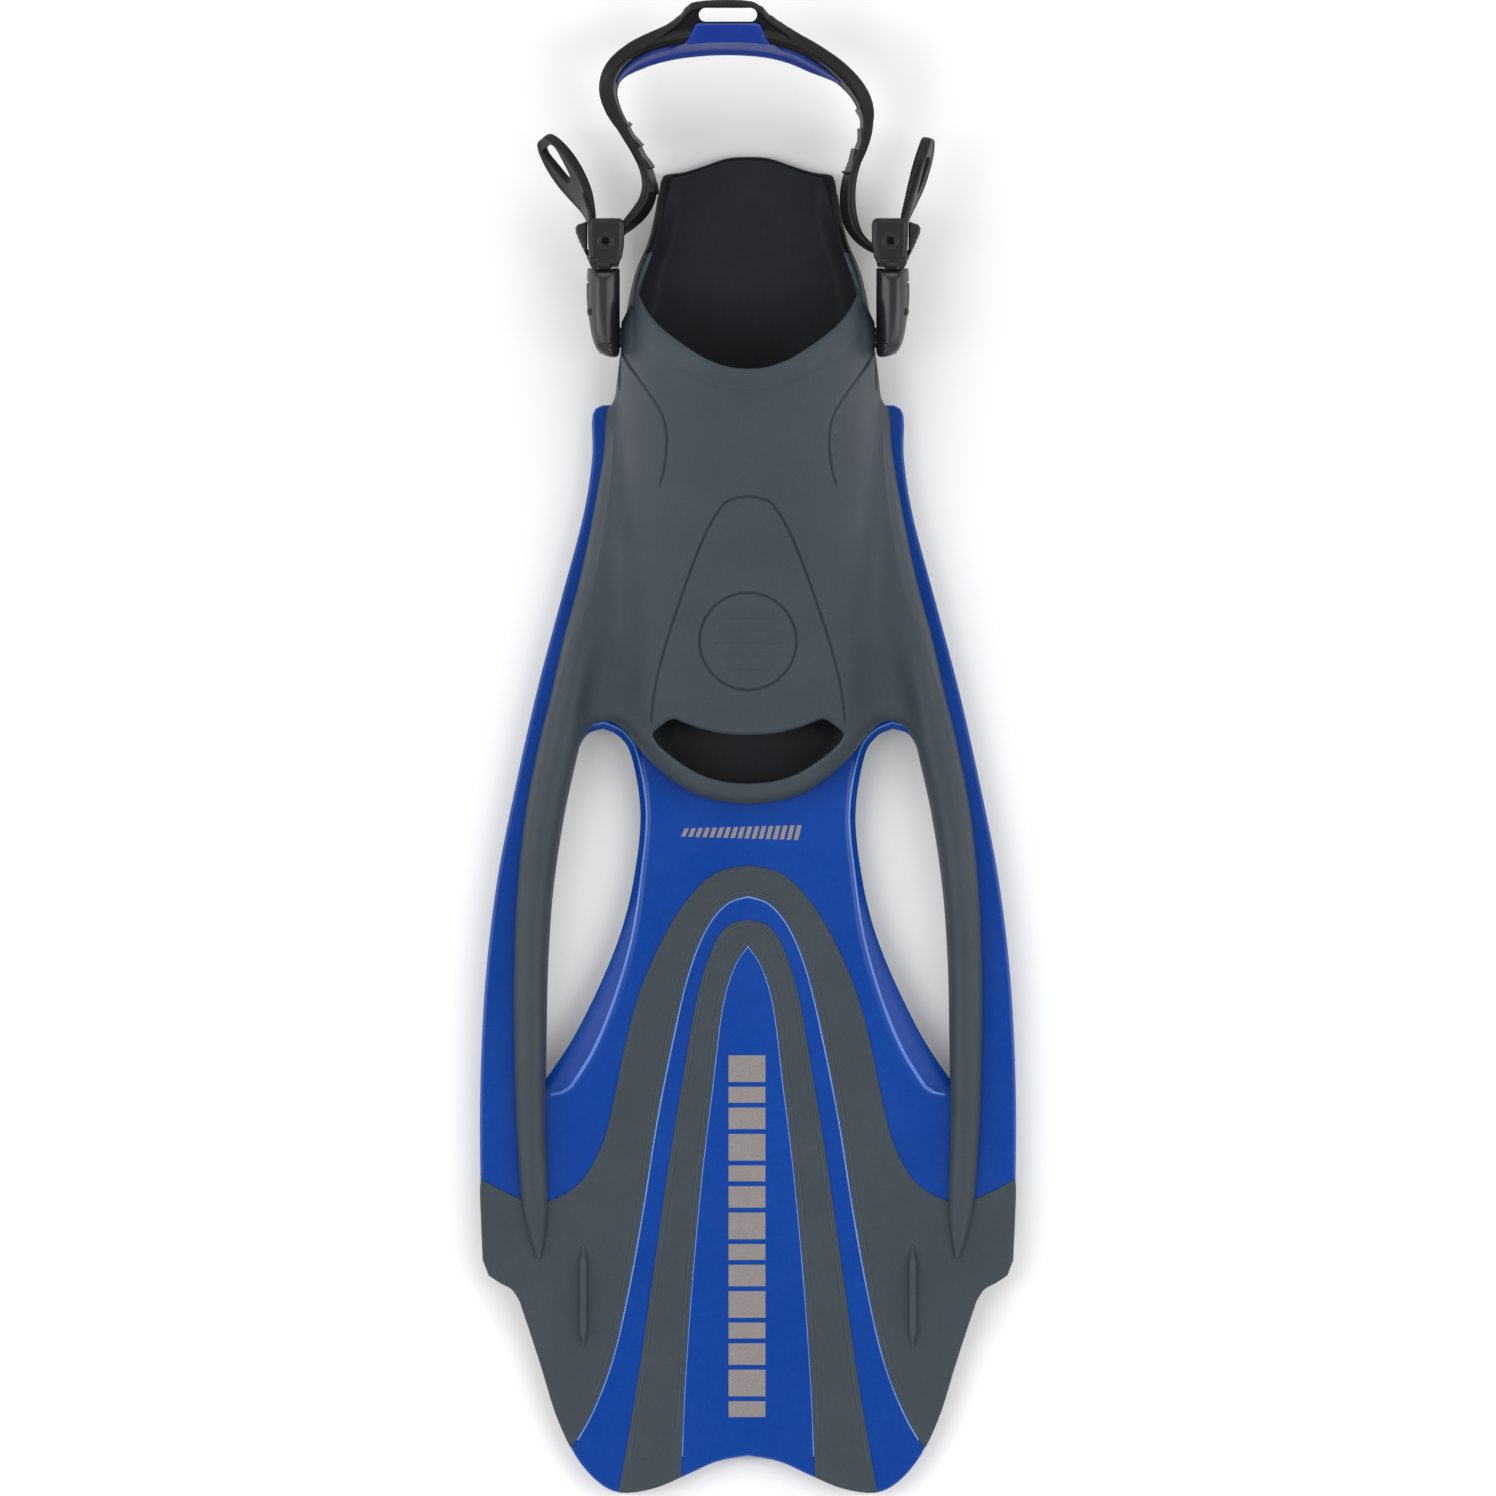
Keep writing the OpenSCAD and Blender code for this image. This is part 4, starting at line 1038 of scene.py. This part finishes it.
def round_roller(side, first, last, n):
    """Stations where the strap turns round a roller."""
    bend = ROLLER_R + 0.15 + STRAP_T / 2
    a = np.radians(np.linspace(first, last, n))
    flat = np.ones(n)
    return np.column_stack([side * ROLLER_X + bend * np.cos(a), ROLLER_Y + bend * np.sin(a), BUCKLE_Z * flat,
                            STRAP_W * flat, 0 * flat, STRAP_T * flat])


STRAP_LINE = curve(np.vstack([LEFT_TAIL, round_roller(-1, 180, 360, 9), LOOP, round_roller(1, 252, 360, 6),
                              RIGHT_TAIL]), 4)
ALONG = np.concatenate([[0], np.cumsum(np.hypot(*np.diff(STRAP_LINE[:, :2], axis=0).T))])


def strap_place(x, y):
    """Distance along the strap of the station nearest to a plan point."""
    return ALONG[np.argmin(np.hypot(STRAP_LINE[:, 0] - x, STRAP_LINE[:, 1] - y))]


class StrapMap:
    """Distance along the strap and to its left, for every plan point."""

    def __init__(self, low, high, cell=0.5):
        self.low, self.cell = np.array(low, float), cell
        gx = np.arange(low[0], high[0] + cell, cell)[:, None]
        gy = np.arange(low[1], high[1] + cell, cell)[None, :]
        best = np.full((gx.size, gy.size), 1e12)
        self.s, self.q = np.zeros(best.shape), np.zeros(best.shape)
        line = STRAP_LINE[:, :2]
        last = len(line) - 2
        for i, (a, b) in enumerate(zip(line, line[1:])):
            e = b - a
            size = np.hypot(*e)
            if size < 1e-6:
                continue
            e = e / size
            t = (gx - a[0]) * e[0] + (gy - a[1]) * e[1]
            q = (gx - a[0]) * -e[1] + (gy - a[1]) * e[0]
            held = np.clip(t, 0, size)
            d = (t - held) ** 2 + q**2
            nearer = d < best
            free = np.clip(t, -1e9 if i == 0 else 0, 1e9 if i == last else size)
            reach = np.sqrt(d) if 0 < i < last else np.abs(q)
            best = np.where(nearer, d, best)
            self.s = np.where(nearer, ALONG[i] + free, self.s)
            self.q = np.where(nearer, np.sign(q) * reach, self.q)

    def __call__(self, x, y):
        u, v = np.broadcast_arrays((x - self.low[0]) / self.cell, (y - self.low[1]) / self.cell)
        u = np.clip(u, 0, self.s.shape[0] - 1.001)
        v = np.clip(v, 0, self.s.shape[1] - 1.001)
        i, j = u.astype(int), v.astype(int)
        u, v = u - i, v - j
        out = []
        for m in (self.s, self.q):
            out.append((m[i, j] * (1 - u) + m[i + 1, j] * u) * (1 - v)
                       + (m[i, j + 1] * (1 - u) + m[i + 1, j + 1] * u) * v)
        return out


strap_map = StrapMap((-90, 185), (80, 296))
TEETH = [(strap_place(-38.6, 217), strap_place(-49, 243.5)), (strap_place(46.2, 251), strap_place(40, 223))]
PAD_FROM, PAD_TO = strap_place(-53.6, 259), strap_place(38.5, 260)
PAD_MIDDLE = strap_place(-8, 276.8)
# The handle's outline: [X, height above the strap's top edge]
HANDLE = np.array([[-45, 0.2], [-38, 2], [-32, 5], [-26.6, 9.4], [-22.2, 13.8], [-18.6, 16], [-8, 16.4],
                   [0.8, 16], [4, 13.8], [7.8, 9.4], [13, 5], [19.5, 2], [28, 0.2]])
handle_height = Track([strap_place(x, 276.5 - 0.006 * (x + 8) ** 2) for x, _ in HANDLE], HANDLE[:, 1])
HANDLE_LEAN = math.radians(44)
HANDLE_OUT, HANDLE_Z = 2.2, 49.0     # where the handle's middle leaves the strap's


def strap_axes(x, y, z):
    """A point in the strap's own axes: along, out, up, and the strap's width and thickness there."""
    s, q = strap_map(x, y)
    middle, width, lean, thick = (np.interp(s, ALONG, STRAP_LINE[:, k]) for k in (2, 3, 4, 5))
    lean = np.radians(lean)
    rise = z - middle
    out = q * np.cos(lean) - rise * np.sin(lean)
    up = q * np.sin(lean) + rise * np.cos(lean)
    return s, q, out, up, width, thick


def handle_axes(q, z):
    """Distance from the handle's middle plane, and height along it."""
    q, z = q - HANDLE_OUT, z - HANDLE_Z
    c, d = math.cos(HANDLE_LEAN), math.sin(HANDLE_LEAN)
    return q * c - z * d, q * d + z * c


def handle_slot(x, y):
    return np.hypot(np.maximum(np.abs(x + 7.8) - 8.7, 0), y - 285.4) - 2.6


def strap_field(x, y, z):
    s, q, out, up, width, thick = strap_axes(x, y, z)
    edge = np.abs(up) - width / 2
    swell = 0.35 * step_up(edge, -3.0, -1.6)
    band = smax(np.abs(out) - thick / 2 - swell, edge, 1.1)
    band = smax(smax(band, -s, 1.5), s - ALONG[-1], 1.5)
    for first, last in TEETH:
        pitch = PITCH if last > first else -PITCH
        phase = ((s - first) / pitch) % 1.0
        depth = 1.7 * np.clip(1 - phase / 0.8, 0, 1)
        tooth = np.maximum(-out - thick / 2 - depth, edge + 2.4)
        tooth = np.maximum(tooth, np.maximum(out, np.maximum(min(first, last) - s, s - max(first, last))))
        band = smin(band, tooth, 0.5)
    for sx, sy, half in ((-72.4, 227.4, 8.2), (67, 224, 7.4)):
        at = s - strap_place(sx, sy)
        room = 4.4 * (1 + 0.35 * np.sign(sx) * at / half)
        band = smax(band, -smax(np.abs(at) - half, np.abs(up) - room, 4.0), 0.8)
    out2, up2 = handle_axes(q, z)
    tall = handle_height(s)
    grip = smax(np.abs(out2) - 1.35 - 0.35 * step_up(up2 - tall, -3, -1.4), (up2 - tall) * 0.75, 1.0)
    grip = np.maximum(grip, np.maximum(-4 - up2, 0.6 - tall))
    grip = smax(grip, -handle_slot(x, y), 0.8)
    return smin(band, grip, 3.0)


def pad_field(x, y, z):
    """Soft pad inside the heel part of the strap, with a lip along its lower edge."""
    s, q, out, up, width, thick = strap_axes(x, y, z)
    ends = np.maximum(PAD_FROM - s, s - PAD_TO)
    room = width / 2 - 1.2 - 2.5 * step_up(ends, -16, 0)
    middle = 1 - step_up(np.abs(s - PAD_MIDDLE), 15.0, 23.0)
    top = 2.5 - 6.5 * step_up(ends, -26, 0) + (room - 3.0) * middle
    lip = 1.4 * step_up(-up, 7.0, 12.0)
    inner = -out - thick / 2 - (1.6 + lip) * (0.35 + 0.65 * step_up(-ends, 0, 18))
    body = smax(smax(inner, np.maximum(-up - room, up - top), 1.2), ends, 3.0)
    body = np.maximum(body, out + thick / 2 + 0.02)
    out2, up2 = handle_axes(q, z)
    apron = smax(np.abs(out2 + 2.1) - 0.75, np.maximum(up2 - 7.4, -3.5 - up2), 0.8)
    apron = smax(apron, np.abs(s - PAD_MIDDLE) - 15.5 + 0.45 * up2, 2.0)
    apron = smax(apron, 0.7 - handle_slot(x, y), 0.5)
    return smin(body, apron, 1.2)


def build_strap():
    points, faces = surface(strap_field, (-87, 188, 15), (77, 293, 63), FINE)
    new_piece("heel_strap_band", points, faces, [STRAP], "strap", ["heel_strap"])
    points, faces = surface(pad_field, (-60, 238, 16), (50, 286, 58), FINE)
    new_piece("heel_pad_cushion", points, faces, [PAD], "strap", ["heel_pad"])


# ---------------------------------------------------------------- CAD pieces that stay


def finish_cad():
    """New materials on the CAD pieces whose own shapes are right."""
    looks = {}
    for side in SIDES:
        looks[f"{side}_swivel_post"] = BUCKLE
        looks[f"{side}_roller_pin"] = DARK_STEEL
        looks[f"{side}_strap_roller"] = LEVER
        looks[f"{side}_lever_spring"] = STEEL
    for name, material in looks.items():
        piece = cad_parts[name]
        for slot in piece.material_slots:
            slot.material = material


# ---------------------------------------------------------------- camera, floor and lights

VIEW_WIDTH = 0.58344    # width of the view at the height of the instep's middle
LENS, SENSOR = 800.0, 36.0
FOCUS_Z = 0.030
SKY = ((0.0, 0.8), (0.5, 1.0), (0.85, 1.0), (0.94, 0.5), (1.0, 0.12))   # brightness by height, dark overhead
SKY_STRENGTH = 0.85
# name, place, width, length, power
LIGHTS = (("left_strip", (-2.1, 0, 1.9), 0.45, 4.0, 34), ("right_strip", (2.1, 0, 1.9), 0.45, 4.0, 30),
          ("back", (0, 2.6, 2.0), 1.2, 0.8, 12), ("front", (0, -2.6, 2.0), 1.2, 0.8, 12))


def build_studio():
    scene = bpy.context.scene
    camera = bpy.data.objects.new("camera", bpy.data.cameras.new("camera"))
    scene.collection.objects.link(camera)
    camera.data.lens = LENS
    camera.data.sensor_width = SENSOR
    camera.data.clip_end = 40
    camera.location = (0, 0, FOCUS_Z + VIEW_WIDTH * LENS / SENSOR)
    scene.camera = camera

    mesh = bpy.data.meshes.new("floor")
    mesh.from_pydata([(-8, -8, 0), (8, -8, 0), (8, 8, 0), (-8, 8, 0)], [], [(0, 1, 2, 3)])
    floor = bpy.data.objects.new("floor", mesh)
    scene.collection.objects.link(floor)
    m = Nodes("pale_floor")
    cloud = m.noise(120, 2)
    m.link(m.ramp(cloud, [(0.3, (0.93, 0.93, 0.93, 1)), (0.7, (0.95, 0.95, 0.95, 1))]),
           m.shader.inputs["Base Color"])
    m.link(m.spread(cloud, 0.75, 0.85), m.shader.inputs["Roughness"])
    m.shader.inputs["Specular IOR Level"].default_value = 0.1
    mesh.materials.append(m.material)
    floor.location.z = -0.0005

    world = bpy.data.worlds.new("studio")
    scene.world = world
    world.use_nodes = True
    tree = world.node_tree
    split = tree.nodes.new("ShaderNodeSeparateXYZ")
    tree.links.new(tree.nodes.new("ShaderNodeTexCoord").outputs["Generated"], split.inputs["Vector"])
    sky = tree.nodes.new("ShaderNodeValToRGB")
    set_stops(sky, [(at, (level, level, level, 1)) for at, level in SKY])
    tree.links.new(split.outputs["Z"], sky.inputs["Fac"])
    tree.links.new(sky.outputs["Color"], tree.nodes["Background"].inputs["Color"])
    tree.nodes["Background"].inputs["Strength"].default_value = SKY_STRENGTH
    for name, place, width, length, power in LIGHTS:
        light = bpy.data.objects.new(name, bpy.data.lights.new(name, "AREA"))
        light.data.shape = "RECTANGLE"
        light.data.size, light.data.size_y = width, length
        light.data.energy = power
        light.location = place
        light.rotation_euler = (-Vector(place)).to_track_quat("-Z", "Y").to_euler()
        scene.collection.objects.link(light)
    scene.view_settings.view_transform = "Standard"


build_studio()
build_blade()
build_channels()
build_print()
build_pocket()
build_liner()
build_buckles()
build_strap()
finish_cad()
